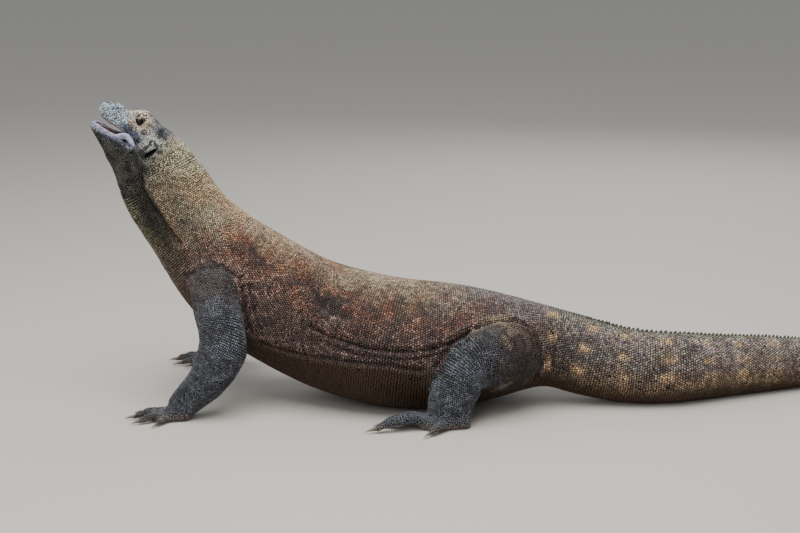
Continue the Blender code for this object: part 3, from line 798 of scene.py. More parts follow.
def shape_lids(points):
    """Lays the skin over the eyeballs as two lids, and drops it behind them in the opening."""
    eyes = settings("eyes")
    for side in SIDES:
        across, rise, out = eye_place(points, side)
        ratio = lid_ratio(across, rise, eyes)
        near = (np.hypot(across, rise) < LID_REACH) & (out > -0.002)
        flat = across**2 + rise**2
        cover = np.sqrt(np.maximum((EYE_RADIUS + eyes.lid) ** 2 - flat, 0))
        behind = np.sqrt(np.maximum(EYE_RADIUS**2 - flat, 0)) - SKIN_BEHIND
        blend = step(*LID_BLEND, np.sqrt(flat))
        lidded = cover * (1 - blend) + np.maximum(out, cover) * blend
        lidded = np.where(ratio < 1, behind, lidded)
        way = np.array(LEFT) * (1 if side == "left" else -1)
        points[near] += (lidded - out)[near, None] * way
    return points


def softness_of(points, labels, ring, valence):
    """How far each point of the raw skin is smoothed: more at limbs' roots and under the jaw's corners."""
    softness = np.array([SOFTNESS[name] for name in FLESH])[labels]
    places = head_places(points)
    throat = (labels < 3) * bell(places[:, 0], 0.036, 0.034) * step(-0.058, -0.080, places[:, 2])
    less = softness < THROAT_SOFTNESS
    softness = softness + (THROAT_SOFTNESS - softness) * np.clip(1.5 * throat, 0, 1) * less
    limb = (labels >= 2 + len(TRUNK + TAIL)).astype(float)
    root = relaxed(limb[:, None], ring, valence, np.full(len(points), 90.0))[:, 0]
    softness = softness + ROOT_SOFTNESS * 4 * root * (1 - root)
    spread = np.where(labels < 2, 4.0, 40.0)
    return relaxed(softness[:, None], ring, valence, spread)[:, 0]


def build_skin(hide):
    mesh = skin_mesh(hide)
    points, triangles = arrays(mesh)
    edges, ring, valence = neighbours(mesh)
    labels = nearest_nodes(points)
    softness = softness_of(points, labels, ring, valence)
    gaps = np.linalg.norm(points[edges[:, 0]] - points[edges[:, 1]], axis=1)
    grid = sum(np.bincount(edges[:, end], gaps, len(points)) for end in (0, 1)) / valence
    rounds = np.minimum(2 * (softness / grid) ** 2, MOST_ROUNDS)
    once = relaxed(points, ring, valence, rounds)
    points = once + relaxed(points - once, ring, valence, rounds)

    spines = make_spines()
    normals = outward(points, triangles)
    shift = folded(points, fold_lines(spines["body"], tree_of(points, triangles)))
    shift -= wrinkle_depth(points, labels, spines)
    station, angle, _, _ = spines["body"].locate(points)
    under = step(0.70, 0.92, np.abs(angle) / math.pi)
    shift += THROAT_FULL * (labels < 4) * bell(station, 0.60, 0.60) * under
    points += normals * (hide.folds * shift)[:, None]
    for label in (0, 1):
        mine = labels == label
        points[mine] = parted(points[mine], label == 0)
    points = shape_lids(points)

    depth = np.where(labels < 2, hide.head_depth, hide.coat_depth)
    depth = relaxed(depth[:, None], ring, valence, np.full(len(points), 20.0))[:, 0]
    points -= outward(points, triangles) * depth[:, None]
    points[:, 2] = np.maximum(points[:, 2], SKIN_FLOOR)
    move_points(mesh, points)
    write_values(mesh, "node", labels)
    return mesh


class DRAGON_OT_make_skin(bpy.types.Operator):
    """Builds the one skin that stands for all the flesh"""

    bl_idname = "dragon.make_skin"
    bl_label = "Make skin"

    def execute(self, context):
        mesh = build_skin(settings("hide"))
        if len(mesh.polygons) < FEWEST_FACES:
            raise RuntimeError("the skin lost most of its faces")
        new_piece("skin", mesh, replaces=FLESH)
        points, triangles = arrays(mesh)
        nodes = read_values(mesh, "node").astype(int)
        lay = Lay(points, outward(points, triangles), nodes, make_spines(tree_of(points, triangles)))
        write_colours(mesh, "ground", ground_colours(lay))
        mesh.materials.append(hide_material("skin", scales=False))
        return {"FINISHED"}


# ---- where things lie on the hide


# In the head's axes: the middle, half size and tilt of the ear slot, and the left nostril.
EAR, EAR_SIZE, EAR_TILT = (-0.0195, -0.0148), (0.0060, 0.0205), 0.33
NOSTRIL = (0.1165, 0.0210, 0.0090)


def ear_ratio(places):
    """1 on the rim of the ear slot, from places in the head's axes."""
    across, rise = places[:, 0] - EAR[0], places[:, 2] - EAR[1]
    short = across * math.cos(EAR_TILT) + rise * math.sin(EAR_TILT)
    long = rise * math.cos(EAR_TILT) - across * math.sin(EAR_TILT)
    return np.hypot(short / EAR_SIZE[0], long / EAR_SIZE[1])


def nostril_gap(places):
    """The distance to the nearer nostril, from places in the head's axes."""
    return np.linalg.norm(np.abs(places) - np.array(NOSTRIL), axis=1)


def eye_ratio(points):
    """1 on the nearer eye's lid edge, and more outside it."""
    eyes, ratio = settings("eyes"), np.full(len(points), 9.0)
    for side in SIDES:
        across, rise, out = eye_place(points, side)
        ratio = np.where(out > -0.004, np.minimum(ratio, lid_ratio(across, rise, eyes)), ratio)
    return ratio


def mouth_gap(points):
    """How far each point is from the mouth's lining, up to 20 mm."""
    trees = [tree_of(*solid(name)) for name in ("palate", "mouth_floor")]
    gaps = np.full(len(points), 0.02)
    for index, point in enumerate(points):
        for tree in trees:
            found = tree.find_nearest(Vector(point), 0.02)[3]
            if found is not None and found < gaps[index]:
                gaps[index] = found
    return gaps


class Lay:
    """Where points lie: node, head axes, and station and angle along the body or their limb."""

    def __init__(self, points, normals, nodes, spines):
        self.points, self.normals, self.nodes = points, normals, nodes
        self.head = head_places(points)
        self.station, self.angle, _, self.length = spines["body"].locate(points)
        self.side = np.abs(self.angle) / math.pi
        self.on_head = nodes < 2
        names = np.array(FLESH)[nodes]
        self.on_paw = np.char.startswith(names, "hand") | np.char.startswith(names, "foot")
        self.limb_station, self.limb_angle, self.limb_length = np.zeros((3, len(points)))
        for limb, parts in LIMB_PARTS.items():
            mine = np.isin(names, parts)
            if mine.any():
                station, angle, _, reach = spines[limb].locate(points[mine])
                self.limb_station[mine], self.limb_angle[mine], self.limb_length[mine] = station, angle, reach
        self.on_limb = self.limb_station != 0
        self.on_arm = np.isin(names, LIMB_PARTS["arm_left"] + LIMB_PARTS["arm_right"])
        self.on_body = ~self.on_head & ~self.on_limb
        self.mouth = np.full(len(points), 0.02)
        self.mouth[self.on_head] = mouth_gap(points[self.on_head])
        self.eye = eye_ratio(points)
        self.ear = np.where(self.on_head | (self.station < 0.5), ear_ratio(self.head), 9)
        self.nostril = np.where(self.on_head, nostril_gap(self.head), 1)
        self.fold = np.array([spines["folds"].find(point)[2] for point in points])
        self.crease = np.clip(wrinkle_depth(points, nodes, spines) / 0.0024, 0, 1)


def make_spines(tree=None):
    """The lines of the body and the limbs and, given a tree of the skin, the bottoms of its folds."""
    spines = {"body": body_spine()}
    for side in SIDES:
        spines[f"arm_{side}"] = limb_spine("chest", f"upper_arm_{side}", f"forearm_{side}", f"hand_{side}")
        spines[f"leg_{side}"] = limb_spine("pelvis", f"thigh_{side}", f"shank_{side}", f"foot_{side}")
    if tree:
        spines["folds"] = kd_tree(np.concatenate([line for line, _, _ in fold_lines(spines["body"], tree)]))
    return spines


# ---- the markings


BELLY_STATIONS = (2, 2.75, 3.13, 3.5, 4, 4.45, 5.5, 7, 12)
BELLY_SIDES = (0.70, 0.655, 0.585, 0.550, 0.520, 0.540, 0.62, 0.70, 0.73)

# How light the back and the flank are at stations down the body.
LIGHT_STATIONS = (0, 0.6, 1.0, 1.6, 2.2, 2.8, 3.3, 4.0, 4.7, 5.3, 6.0, 6.6, 7.5, 8.5)
BACK_LIGHT = (1.30, 1.15, 1.0, 0.98, 0.90, 0.78, 0.66, 0.64, 0.70, 0.80, 0.80, 1.0, 1.25, 1.62)
FLANK_LIGHT = (1.0, 0.85, 0.72, 0.92, 0.90, 0.74, 0.70, 0.70, 0.74, 0.76, 0.46, 0.62, 0.92, 1.34)

# Single patches of the body: colour, strength, station and width, side and width, and where flecks start.
PATCHES = (
    ("soot", 0.72, 3.28, 0.27, 0.320, 0.070, 0.25),
    ("dusk", 0.75, 2.36, 0.22, 0.270, 0.050, 0.20),
    ("dusk", 0.50, 2.90, 0.30, 0.250, 0.040, 0.25),
    ("dusk", 0.45, 3.72, 0.16, 0.200, 0.040, 0.25),
    ("dusk", 0.45, 5.02, 0.16, 0.190, 0.045, None),
    ("rose", 0.35, 2.22, 0.13, 0.440, 0.050, None),
)


def belly_line(station):
    """How far round the body the smooth belly starts, from 0 on the back to 1 underneath."""
    return np.interp(station, BELLY_STATIONS, BELLY_SIDES)


def zones_of(lay, fleck):
    """The soft masks and the noises that the markings are mixed with."""
    points, side, station = lay.points, lay.side, lay.station
    fleck = np.full(len(points), 0.5) if fleck is None else fleck
    broad, middle, fine = layered(points, 0.085, 1), layered(points, 0.034, 5), layered(points, 0.013, 9)
    # Light and dark flecks a few scales across break up every patch.
    speckle = 0.62 * fleck + 0.38 * np.clip(1.6 * noise(points, 0.0095, 77) - 0.3, 0, 1)
    return SimpleNamespace(
        fleck=fleck,
        broad=broad,
        middle=middle,
        fine=fine,
        drift=side + 0.20 * (broad - 0.5) + 0.10 * (middle - 0.5),
        light=step(0.54, 0.76, speckle),
        dark=step(0.44, 0.22, speckle),
        neck=1 - step(1.1, 2.2, station),
        trunk=step(1.3, 2.2, station) * (1 - step(5.2, 6.4, station)),
        hip=step(3.9, 5.3, station),
        tail=step(5.4, 6.6, station),
        dusk=np.array(settings("colours").umber) * (0.42, 0.42, 0.48),
    )


def trunk_colours(lay, zones):
    """Tan neck, ochre and cream back, rust patches over an umber flank, with pinkish and dark flecks."""
    colours, side, station = settings("colours"), lay.side, lay.station
    broad, middle, fine, fleck = zones.broad, zones.middle, zones.fine, zones.fleck
    trunk, neck, hip, tail, drift = zones.trunk, zones.neck, zones.hip, zones.tail, zones.drift
    tone = np.tile(np.array(colours.tan), (len(side), 1))
    warm = step(0.40, 0.60, broad) * step(0.3, 1.2, station) * (1 - hip) * (1 - 0.35 * neck)
    tone = toward(tone, colours.ochre, 0.65 * warm)
    tone = toward(tone, colours.ochre, 0.45 * trunk * (1 - hip))
    tone = toward(tone, colours.cream, trunk * (1 - step(0.12, 0.26, drift)) * step(0.40, 0.56, middle))
    tone = toward(tone, colours.ash, hip * (1 - 0.6 * tail) * (1 - step(0.20, 0.45, side)))
    tone = toward(tone, colours.umber, step(0.17, 0.36, drift) * (1 - 0.5 * tail) * (1 - 0.75 * neck))
    patches = step(0.40, 0.58, 0.4 * broad + 0.6 * middle + 0.16 * (fleck - 0.5))
    tone = toward(tone, colours.rust, 0.92 * trunk * (1 - 0.6 * hip) * bell(drift, 0.25, 0.17) * patches)
    tone = toward(tone, colours.rose, 0.60 * zones.light * trunk * step(0.08, 0.18, side) * (1 - 0.4 * hip))
    burnt = 0.35 * fine + 0.65 * layered(lay.points, 0.038, 23) + 0.16 * (fleck - 0.5)
    tone = toward(tone, zones.dusk, 0.70 * trunk * bell(drift, 0.26, 0.20) * step(0.50, 0.64, burnt))
    tone = toward(tone, zones.dusk, 0.62 * zones.dark * trunk)
    tone = toward(tone, zones.dusk, 0.30 * step(0.36, 0.50, drift) * trunk)
    for name, strength, at, length_wide, round_at, round_wide, flecked in PATCHES:
        colour = zones.dusk if name == "dusk" else getattr(colours, name)
        amount = strength * bell(station, at, length_wide) * bell(side, round_at, round_wide)
        if flecked:
            amount *= step(flecked, 0.5, fine)
        tone = toward(tone, colour, amount)
    return tone


def tail_colours(lay, zones, tone):
    """Ash and cream tail with dark bands towards its end, flecks at the hip and a mossy ridge."""
    colours, side, tail = settings("colours"), lay.side, zones.tail
    pale = step(0.30, 0.55, zones.broad) * (1 - step(0.55, 0.70, side))
    tone = toward(tone, colours.ash, 0.75 * tail * pale)
    tone = toward(tone, colours.cream, 0.28 * zones.light * tail * (1 - step(0.60, 0.75, side)))
    turns = 2 * math.pi * (lay.length - SPOT_START) / TAIL_BAND + 1.5 * (zones.broad - 0.5)
    between = 1 - (0.5 + 0.5 * np.cos(turns))
    tone = toward(tone, zones.dusk, 0.40 * step(7.2, 8.6, lay.station) * step(0.25, 0.80, between))
    tone = toward(tone, zones.dusk, 0.60 * zones.dark * zones.hip)
    tone = toward(tone, zones.dusk, 0.36 * tail * step(0.50, 0.64, layered(lay.points, 0.028, 31)))
    return toward(tone, colours.moss, 0.70 * tail * (1 - step(0.02, 0.09, side)))


def under_colours(lay, zones, tone):
    """Darkens the flank, and lays the smooth brown belly, partly its own brown and partly painted shade under
    the body, and the warm underside of the tail.
    """
    side, station, tail = lay.side, lay.station, zones.tail
    back, flank = (np.interp(station, LIGHT_STATIONS, light) for light in (BACK_LIGHT, FLANK_LIGHT))
    share = step(0.15, 0.40, side)
    tone = tone * (back + share * (flank - back))[:, None]
    warm = tail * step(0.40, 0.58, side)
    tone = tone * (1 - warm[:, None] * (0.10, 0.22, 0.34))
    past = side - belly_line(station) + 0.03 * (zones.middle - 0.5)
    past += (0.03 + 0.08 * tail) * (zones.fleck - 0.5)
    under = step(-0.02 - 0.06 * tail, 0.03 + 0.06 * tail, past)
    return toward(tone, settings("colours").belly, under * step(1.6, 2.4, station) * (1 - 0.12 * tail))


def throat_colours(lay, zones, tone):
    """Mossy throat with a sooty band down each side of it."""
    colours, side, neck = settings("colours"), lay.side, zones.neck
    middle, dark = zones.middle, zones.dark
    throat = neck * step(0.56, 0.64, side + 0.05 * (middle - 0.5))
    front = step(0.74, 0.84, side + 0.06 * (middle - 0.5))
    tone = toward(tone, np.array(colours.moss) * (1.05, 1.0, 0.8), 0.9 * throat)
    tone = toward(tone, colours.soot, 0.80 * throat * (1 - front) + 0.25 * throat * dark)
    tone = toward(tone, colours.tan, 0.35 * throat * front * zones.light)
    grey = neck * bell(side, 0.47, 0.09) * step(0.36, 0.62, middle) * step(0.1, 0.7, lay.station)
    tone = toward(tone, colours.soot, 0.45 * grey)
    return toward(tone, colours.soot, 0.45 * neck * dark * (1 - throat)), throat


def ground_colours(lay, fleck=None):
    """The hide's colour at each point, the same for the skin and for the scales that grow from it.

    fleck is a random number for each scale, which lets neighbours in a patch differ.
    """
    colours, zones = settings("colours"), zones_of(lay, fleck)
    middle, fine = zones.middle, zones.fine
    tone = tail_colours(lay, zones, trunk_colours(lay, zones))
    tone = under_colours(lay, zones, tone)
    tone = toward(tone, np.array(colours.cream) * (1.05, 0.90, 0.68), spots(lay, middle, fine))
    tone, throat = throat_colours(lay, zones, tone)
    fork = bell(lay.station, 5.17, 0.13) * bell(lay.side, 0.29, 0.04) * step(0.35, 0.6, fine)
    tone = toward(tone, colours.cream, 0.55 * fork)
    tone = np.where(lay.on_limb[:, None], limb_colours(lay, zones, tone), tone)
    # Painted light on the folds' raised edges, and painted shade at their bottoms and in the small creases.
    painted_fold_mask = lay.on_body * (1 - throat)
    tone = tone * (1 + 0.22 * painted_fold_mask * bell(lay.fold, 0.010, 0.004))[:, None]
    depth = 0.62 * painted_fold_mask * bell(lay.fold, 0, 0.0042) + 0.35 * step(0.15, 0.75, lay.crease)
    tone = toward(tone, np.array(colours.soot) * 0.6, depth)
    return head_colours(lay, zones, tone)


# The rings of spots and bands round the tail and the limbs: how far apart, and where the first spots are.
TAIL_BAND = 0.0955
SPOT_START = 1.400
LIMB_BAND = 0.017
# Each row of spots on the tail's side: strength, side and width.
SPOT_ROWS = ((1.0, 0.13, 0.035), (0.85, 0.345, 0.035), (0.8, 0.55, 0.05))


def spots(lay, middle, fine):
    """Warm pale spots in rings round the tail, three to a side."""
    wave = 0.5 + 0.5 * np.cos(2 * math.pi * (lay.length - SPOT_START) / TAIL_BAND + 0.9 * (middle - 0.5))
    rows = sum(strength * bell(lay.side, at, wide) for strength, at, wide in SPOT_ROWS)
    fade = step(5.75, 5.95, lay.station) * np.interp(lay.station, (7.8, 9.5), (0.85, 0.45))
    return np.clip(step(0.62, 0.95, wave) * rows * step(0.22, 0.44, fine), 0, 1) * fade


def limb_colours(lay, zones, tone):
    """Slate limbs, darker in rings down the arms, with the body's colours at their roots and dusty toes."""
    colours = settings("colours")
    station, arm, leg_only = lay.limb_station, lay.on_arm, ~lay.on_arm
    middle, light, dark = zones.middle, zones.light, zones.dark
    leg = mixed(colours.slate, colours.soot, 0.55 * step(0.35, 0.65, middle))
    leg = toward(leg, colours.pale, 0.13 * light)
    leg = toward(leg, colours.soot, 0.34 * dark)
    ring = 0.5 + 0.5 * np.cos(2 * math.pi * lay.limb_length / LIMB_BAND + 2.4 * (middle - 0.5))
    leg = toward(leg, colours.soot, 0.28 * ring * step(1.7, 2.2, station) * arm)
    leg = leg * (1 + 0.30 * (arm * bell(station, 2.15, 0.35)))[:, None]
    olive = mixed(colours.umber, colours.soot, 0.55 * step(0.38, 0.62, middle))
    olive = toward(olive, colours.ash, 0.5 * light) * (0.60, 0.65, 0.64)
    leg = toward(leg, olive, 0.85 * (1 - step(1.10, 1.75, station)) * arm)
    thigh = toward(tone, colours.soot, 0.22 + 0.34 * step(0.50, 1.05, station))
    leg = toward(leg, thigh, (1 - step(1.2, 2.0, station)) * leg_only)
    streak = bell(station, 1.38, 0.30) * bell(np.abs(lay.limb_angle), 1.08, 0.24) * leg_only
    leg = toward(leg, colours.cream, 0.95 * streak * step(0.36, 0.54, zones.fine))
    pale = step(0.58, 0.68, layered(lay.points, 0.030, 41)) * bell(station, 1.25, 0.35) * leg_only
    leg = toward(leg, colours.cream, 0.30 * pale * (0.5 + 0.5 * light))
    knob = (1 - step(0.45, 0.85, station)) * arm
    leg = toward(leg, toward(tone, olive, step(0.15, 0.55, station)), 0.9 * knob)
    leg = toward(leg, colours.ash, 0.10 * bell(station, 0.55, 0.20) * arm)
    leg = toward(leg, np.array(colours.slate) * 1.25, 0.40 * (lay.on_paw & leg_only))
    return toward(leg, colours.dust, lay.on_paw * (1 - step(0.004, 0.026, lay.points[:, 2])) * 0.6)


def blot(forward, rise, place, size):
    """A soft round patch in the head's side view, from 0 to 1."""
    return np.exp(-(((forward - place[0]) / size[0]) ** 2) - (((rise - place[1]) / size[1]) ** 2))


# The reddish skin in the front corner of the eye.
EYE_CORNER = (0.36, 0.10, 0.12)
# The line of the lower lip in the head's side view.
LIP_FORWARD = (0.010, 0.024, 0.040, 0.056, 0.072, 0.105, 0.122, 0.1345, 0.1385)
LIP_RISE = (-0.042, -0.038, -0.033, -0.031, -0.0352, -0.0425, -0.0445, -0.046, -0.047)


def head_colours(lay, zones, tone):
    """Lays the head's colours over the neck's: pale snout, cream brow, slate face and dark jowl."""
    colours, middle = settings("colours"), zones.middle
    forward, rise, jaw_node = lay.head[:, 0], lay.head[:, 2], lay.nodes == 1
    cream, slate = np.array(colours.cream), np.array(colours.slate)
    jitter = 0.5 * (zones.fine - 0.5) + 0.35 * (zones.fleck - 0.5)
    face = mixed(slate, colours.tan, step(0.44, 0.56, middle + 0.3 * jitter) * 0.5)
    snout = step(0.058, 0.076, forward + 0.02 * jitter) * step(-0.034, -0.022, rise)
    face = toward(face, colours.pale, 0.95 * snout)
    cheek = blot(forward, rise, (0.026, 0.010), (0.022, 0.014))
    cheek += blot(forward, rise, (-0.016, 0.012), (0.028, 0.018))
    cheek += 0.8 * blot(forward, rise, (-0.002, -0.008), (0.016, 0.012))
    face = toward(face, mixed(cream, colours.pale, [0.55]), 0.80 * np.clip(cheek * 1.3 + jitter, 0, 1))
    face = toward(face, colours.tan, 0.6 * step(-0.018, -0.040, forward) * step(-0.050, -0.030, rise))
    temple = blot(forward, rise, (-0.002, 0.036), (0.024, 0.010))
    face = toward(face, slate * (0.8, 0.85, 1.05), np.clip(1.6 * temple + 0.9 * jitter, 0, 1) * 0.85)
    band = blot(forward, rise, (0.058, -0.004), (0.017, 0.008))
    band += blot(forward, rise, (0.038, -0.009), (0.019, 0.007))
    face = toward(face, slate * (0.62, 0.70, 1.15), np.clip(1.6 * band + jitter, 0, 1) * 0.9)
    brow = blot(forward, rise, (0.050, 0.035), (0.027, 0.020))
    rim = bell(lay.eye, 1.45, 0.45) * (np.abs(forward - EYE_FORWARD) < 0.03)
    whitish = np.minimum(cream * (1.25, 1.35, 1.60), 1)
    face = toward(face, whitish, np.clip(1.7 * brow + rim + 0.4 * jitter, 0, 1) * (forward > -0.02))
    face = toward(face, slate * 0.9, 0.7 * step(-0.030, -0.042, rise) * step(0.020, 0.045, forward))

    lip = rise - np.interp(forward, LIP_FORWARD, LIP_RISE)
    lower = bell(lip, -0.004, 0.0065) * step(0.050, 0.060, forward) * jaw_node
    under = step(-0.012, -0.026, lip + 0.012 * jitter) * jaw_node
    chin = mixed(colours.moss, colours.soot, 0.40 + 0.5 * np.clip(-2 * jitter, 0, 1))
    face = toward(face, chin, 0.9 * under)
    face = toward(face, colours.lilac, np.clip(1.1 * lower, 0, 1) * 0.7)
    behind = step(-0.014, -0.034, forward) * step(-0.048, -0.034, rise)
    jowl = step(0.056, 0.036, forward) * step(-0.018, -0.034, rise) * (1 - 0.8 * behind)
    face = toward(face, mixed(colours.moss, colours.soot, [0.70]), 0.8 * jowl)
    corner = bell(rise, np.interp(forward, (0.018, 0.060), (-0.0335, -0.0370)), 0.0055)
    corner *= step(0.018, 0.026, forward) * step(0.062, 0.054, forward)
    face = toward(face, np.array(colours.lilac) * 0.9, 0.8 * corner)

    grain = 0.5 * layered(lay.points, 0.0085, 51) + 0.5 * noise(lay.points, 0.019, 53)
    ridge = step(0.004, 0.022, rise) * step(0.062, 0.085, forward)
    calm = 0.04 * snout + 0.11 * snout * (1 - ridge) + 0.02 * jaw_node
    specks = step(0.545, 0.60, grain + 0.20 * (zones.fleck - 0.5) - calm)
    face = toward(face, np.array(colours.soot) * 0.5, 0.85 * specks * (1 - 0.8 * lower))
    face = toward(face, EYE_CORNER, 0.6 * blot(forward, rise, (0.0635, 0.012), (0.0045, 0.0035)))

    blend = step(-0.066, -0.030, forward + 0.03 * (middle - 0.5)) * (lay.station < 0.6) * ~lay.on_limb
    tone = toward(tone, face, blend)
    # Painted shade in the recesses: the skin in the lid openings, the ear slots and the nostrils is made near
    # black.
    dark = np.array(colours.soot) * 0.25
    tone = toward(tone, dark, 0.8 * step(1.16, 1.0, lay.eye))
    tone = toward(tone, dark, 0.95 * step(1.15, 0.85, lay.ear))
    return toward(tone, dark, 0.9 * step(0.0036, 0.0024, lay.nostril))


# ---- the coat of scales


PIECES = {
    "coat_head": ("hide_head", ("head", "lower_jaw")),
    "coat_neck": ("hide_neck", ("neck_upper", "neck_lower")),
    "coat_chest": ("hide_body", ("chest",)),
    "coat_trunk_front": ("hide_body", ("trunk_front",)),
    "coat_trunk_rear": ("hide_body", ("trunk_rear", "pelvis")),
    "coat_tail_front": ("hide_tail", TAIL[:2]),
    "coat_tail_rear": ("hide_tail", TAIL[2:]),
}
PIECES.update({f"coat_{limb}": ("hide_limb", tuple(parts)) for limb, parts in LIMB_PARTS.items()})

# The stations where the width of the body's scales is set, and how it changes from elbow or knee to paw.
WIDTH_STATIONS = (0, 1, 2, 2.8, 6, 7.5, 10, 12)
LIMB_WIDTHS = ((1, 3), (1.04, 0.90))
# Rays per half ring, rings apart in scale widths, and how far places are shaken, in metres.
RAYS = 60
ROW_PITCH = 0.88
ROW_JITTER = 0.00055
# The side of the boxes that sort the places, and how far off the skin a place may lie.
CELL = 0.0085
OFF_SKIN = 0.0015
# How near scales come to the lids and the ear, as ratios, and to the nostrils and the mouth, in metres.
CLEAR = {"eye": 1.12, "ear": 0.95, "nostril": 0.0030, "mouth": 0.0032}
# How near two scales may grow, as a share of their widths, in the rings and in the gaps between.
RING_CLEARANCE, GAP_CLEARANCE = 0.66, 0.82
# How far from the rings' scales the gaps are filled, and tries per scale on a guess of its width.
RING_GAP = 0.0036
TRIES = 5
GUESS_WIDTHS = {name: 0.0060 for name in FLESH}
GUESS_WIDTHS.update({name: 0.0042 for name in PAWS}, head=0.0036, lower_jaw=0.0036)
# How deep a scale's rim is sunk, in metres, and how far out its shoulder is, as a share of the rim.
RIM_DEPTH, SHOULDER = 0.0004, 0.78
# How many neighbours shape a scale.
NEAREST = 8
# How far round its root a scale reaches on the unwrap.
PATCH = 0.0015


def body_widths(station):
    """The width of the body's scales at a station."""
    scales = settings("scales")
    neck = (scales.neck * 0.84, scales.neck, scales.neck * 1.08)
    tail = (scales.tail, scales.tail * 0.92, scales.tail * 0.55)
    return np.interp(station, WIDTH_STATIONS, (*neck, scales.trunk, scales.trunk, *tail))


def limb_widths(station):
    """The width of a limb's scales at a station."""
    return np.interp(station, *LIMB_WIDTHS) * settings("scales").limb


def widths_at(lay):
    """The width of a scale at each place."""
    scales = settings("scales")
    widths = np.where(lay.on_limb, limb_widths(lay.limb_station), body_widths(lay.station))
    widths = np.where(lay.on_paw, scales.paw, widths)
    near_face = step(-0.075, -0.045, lay.head[:, 0]) * (lay.station < 0.5)
    nape = scales.head + (body_widths(0) - scales.head) * (1 - near_face)
    widths = np.where(lay.on_head, nape, widths)
    return np.where(lay.on_head & (lay.eye < 1.9), scales.head * 0.62, widths)


def ring_rows(spine, tree, start, end, width_at):
    """Places for scales in rings round a line, each ring shifted by half a scale against the last."""
    random = np.random.default_rng(int(1000 * spine.lengths[-1]))
    places, at, row = [], spine.length_at(start), 0
    while at < spine.length_at(end):
        point, _, up, left = spine.at(at)
        width = float(width_at(np.interp(at, spine.lengths, spine.stations)))
        for way in (1, -1):
            last, reach = None, 0.0
            due = 0.5 * width if row % 2 else (0.0 if way == 1 else width)
            for turn in np.linspace(0, math.pi, RAYS):
                heading = up * math.cos(turn) + left * way * math.sin(turn)
                found = tree.ray_cast(Vector(point), Vector(heading))[0]
                if found is None:
                    last = None
                    continue
                if last is not None:
                    gap = (found - last).length
                    while due <= reach + gap:
                        places.append(last.lerp(found, (due - reach) / max(gap, 1e-9)))
                        due += width
                    reach += gap
                last = found
        at += width * ROW_PITCH
        row += 1
    return np.array([list(place) for place in places]) + random.normal(0, ROW_JITTER, (len(places), 3))


def crowded(place, width, home, cells, keep_off):
    """Whether a place lies too near one already taken, in its own box or in those round it."""
    for cell in itertools.product(*((number - 1, number, number + 1) for number in home)):
        for x, y, z, other in cells.get(cell, ()):
            reach = keep_off * 0.5 * (width + other)
            if (place[0] - x) ** 2 + (place[1] - y) ** 2 + (place[2] - z) ** 2 < reach * reach:
                return True
    return False


def sow(places, widths, keep_off, cells):
    """Adds the places that keep clear of those already taken, in order, and returns their numbers."""
    kept = []
    homes = np.floor(places / CELL).astype(int).tolist()
    for index, (place, width, home) in enumerate(zip(places.tolist(), widths.tolist(), homes)):
        if not crowded(place, width, home, cells, keep_off):
            cells.setdefault(tuple(home), []).append((*place, width))
            kept.append(index)
    return np.array(kept, int)


class Hide:
    """The finished skin, ready to be asked where scales may grow."""

    def __init__(self):
        mesh = bpy.data.objects["skin"].data
        self.points, self.triangles = arrays(mesh)
        self.normals = outward(self.points, self.triangles)
        self.nodes = read_values(mesh, "node").astype(int)
        self.tree = tree_of(self.points, self.triangles)
        self.spines = make_spines(self.tree)

    def lay(self, places):
        """Snaps places to the skin and says where they lie; those far off it are dropped."""
        spots, faces = [], []
        for place in places:
            spot, _, face, gap = self.tree.find_nearest(Vector(place))
            if gap < OFF_SKIN:
                spots.append(list(spot))
                faces.append(face)
        spots, corners = np.array(spots), self.triangles[faces]
        gaps = np.linalg.norm(self.points[corners] - spots[:, None], axis=2)
        share = 1 / (gaps + 0.0002)
        normals = (self.normals[corners] * share[..., None]).sum(axis=1)
        normals /= np.linalg.norm(normals, axis=1, keepdims=True)
        nodes = self.nodes[corners[np.arange(len(corners)), gaps.argmin(axis=1)]]
        return Lay(spots, normals, nodes, self.spines)


def picked(lay, chosen):
    """The part of a Lay that an index or a mask chooses."""
    part = object.__new__(Lay)
    part.__dict__.update({name: values[chosen] for name, values in lay.__dict__.items()})
    return part


def merged(lays):
    """Several Lays as one."""
    whole = object.__new__(Lay)
    for name in lays[0].__dict__:
        setattr(whole, name, np.concatenate([getattr(lay, name) for lay in lays]))
    return whole


def gap_places(hide, lays):
    """Random places all over the skin, densest where scales are small, but clear of the scales in rings."""
    random = np.random.default_rng(7)
    corners = hide.points[hide.triangles]
    first, second = corners[:, 1] - corners[:, 0], corners[:, 2] - corners[:, 0]
    areas = 0.5 * np.linalg.norm(np.cross(first, second), axis=1)
    nodes = hide.nodes[hide.triangles[:, 0]]
    weights = areas / np.array([GUESS_WIDTHS[name] for name in FLESH])[nodes] ** 2
    count = int(TRIES * weights.sum())
    chosen = random.choice(len(areas), count, p=weights / weights.sum())
    a, b = random.random((2, count))
    flip = a + b > 1
    a, b = np.where(flip, 1 - a, a)[:, None], np.where(flip, 1 - b, b)[:, None]
    places = corners[chosen, 0] + a * first[chosen] + b * second[chosen]
    fine = np.isin(nodes[chosen], [FLESH.index(name) for name in ("head", "lower_jaw") + PAWS])
    tree = kd_tree(np.concatenate([lay.points for lay in lays]))
    return places[[fine[index] or tree.find(place)[2] > RING_GAP for index, place in enumerate(places)]]


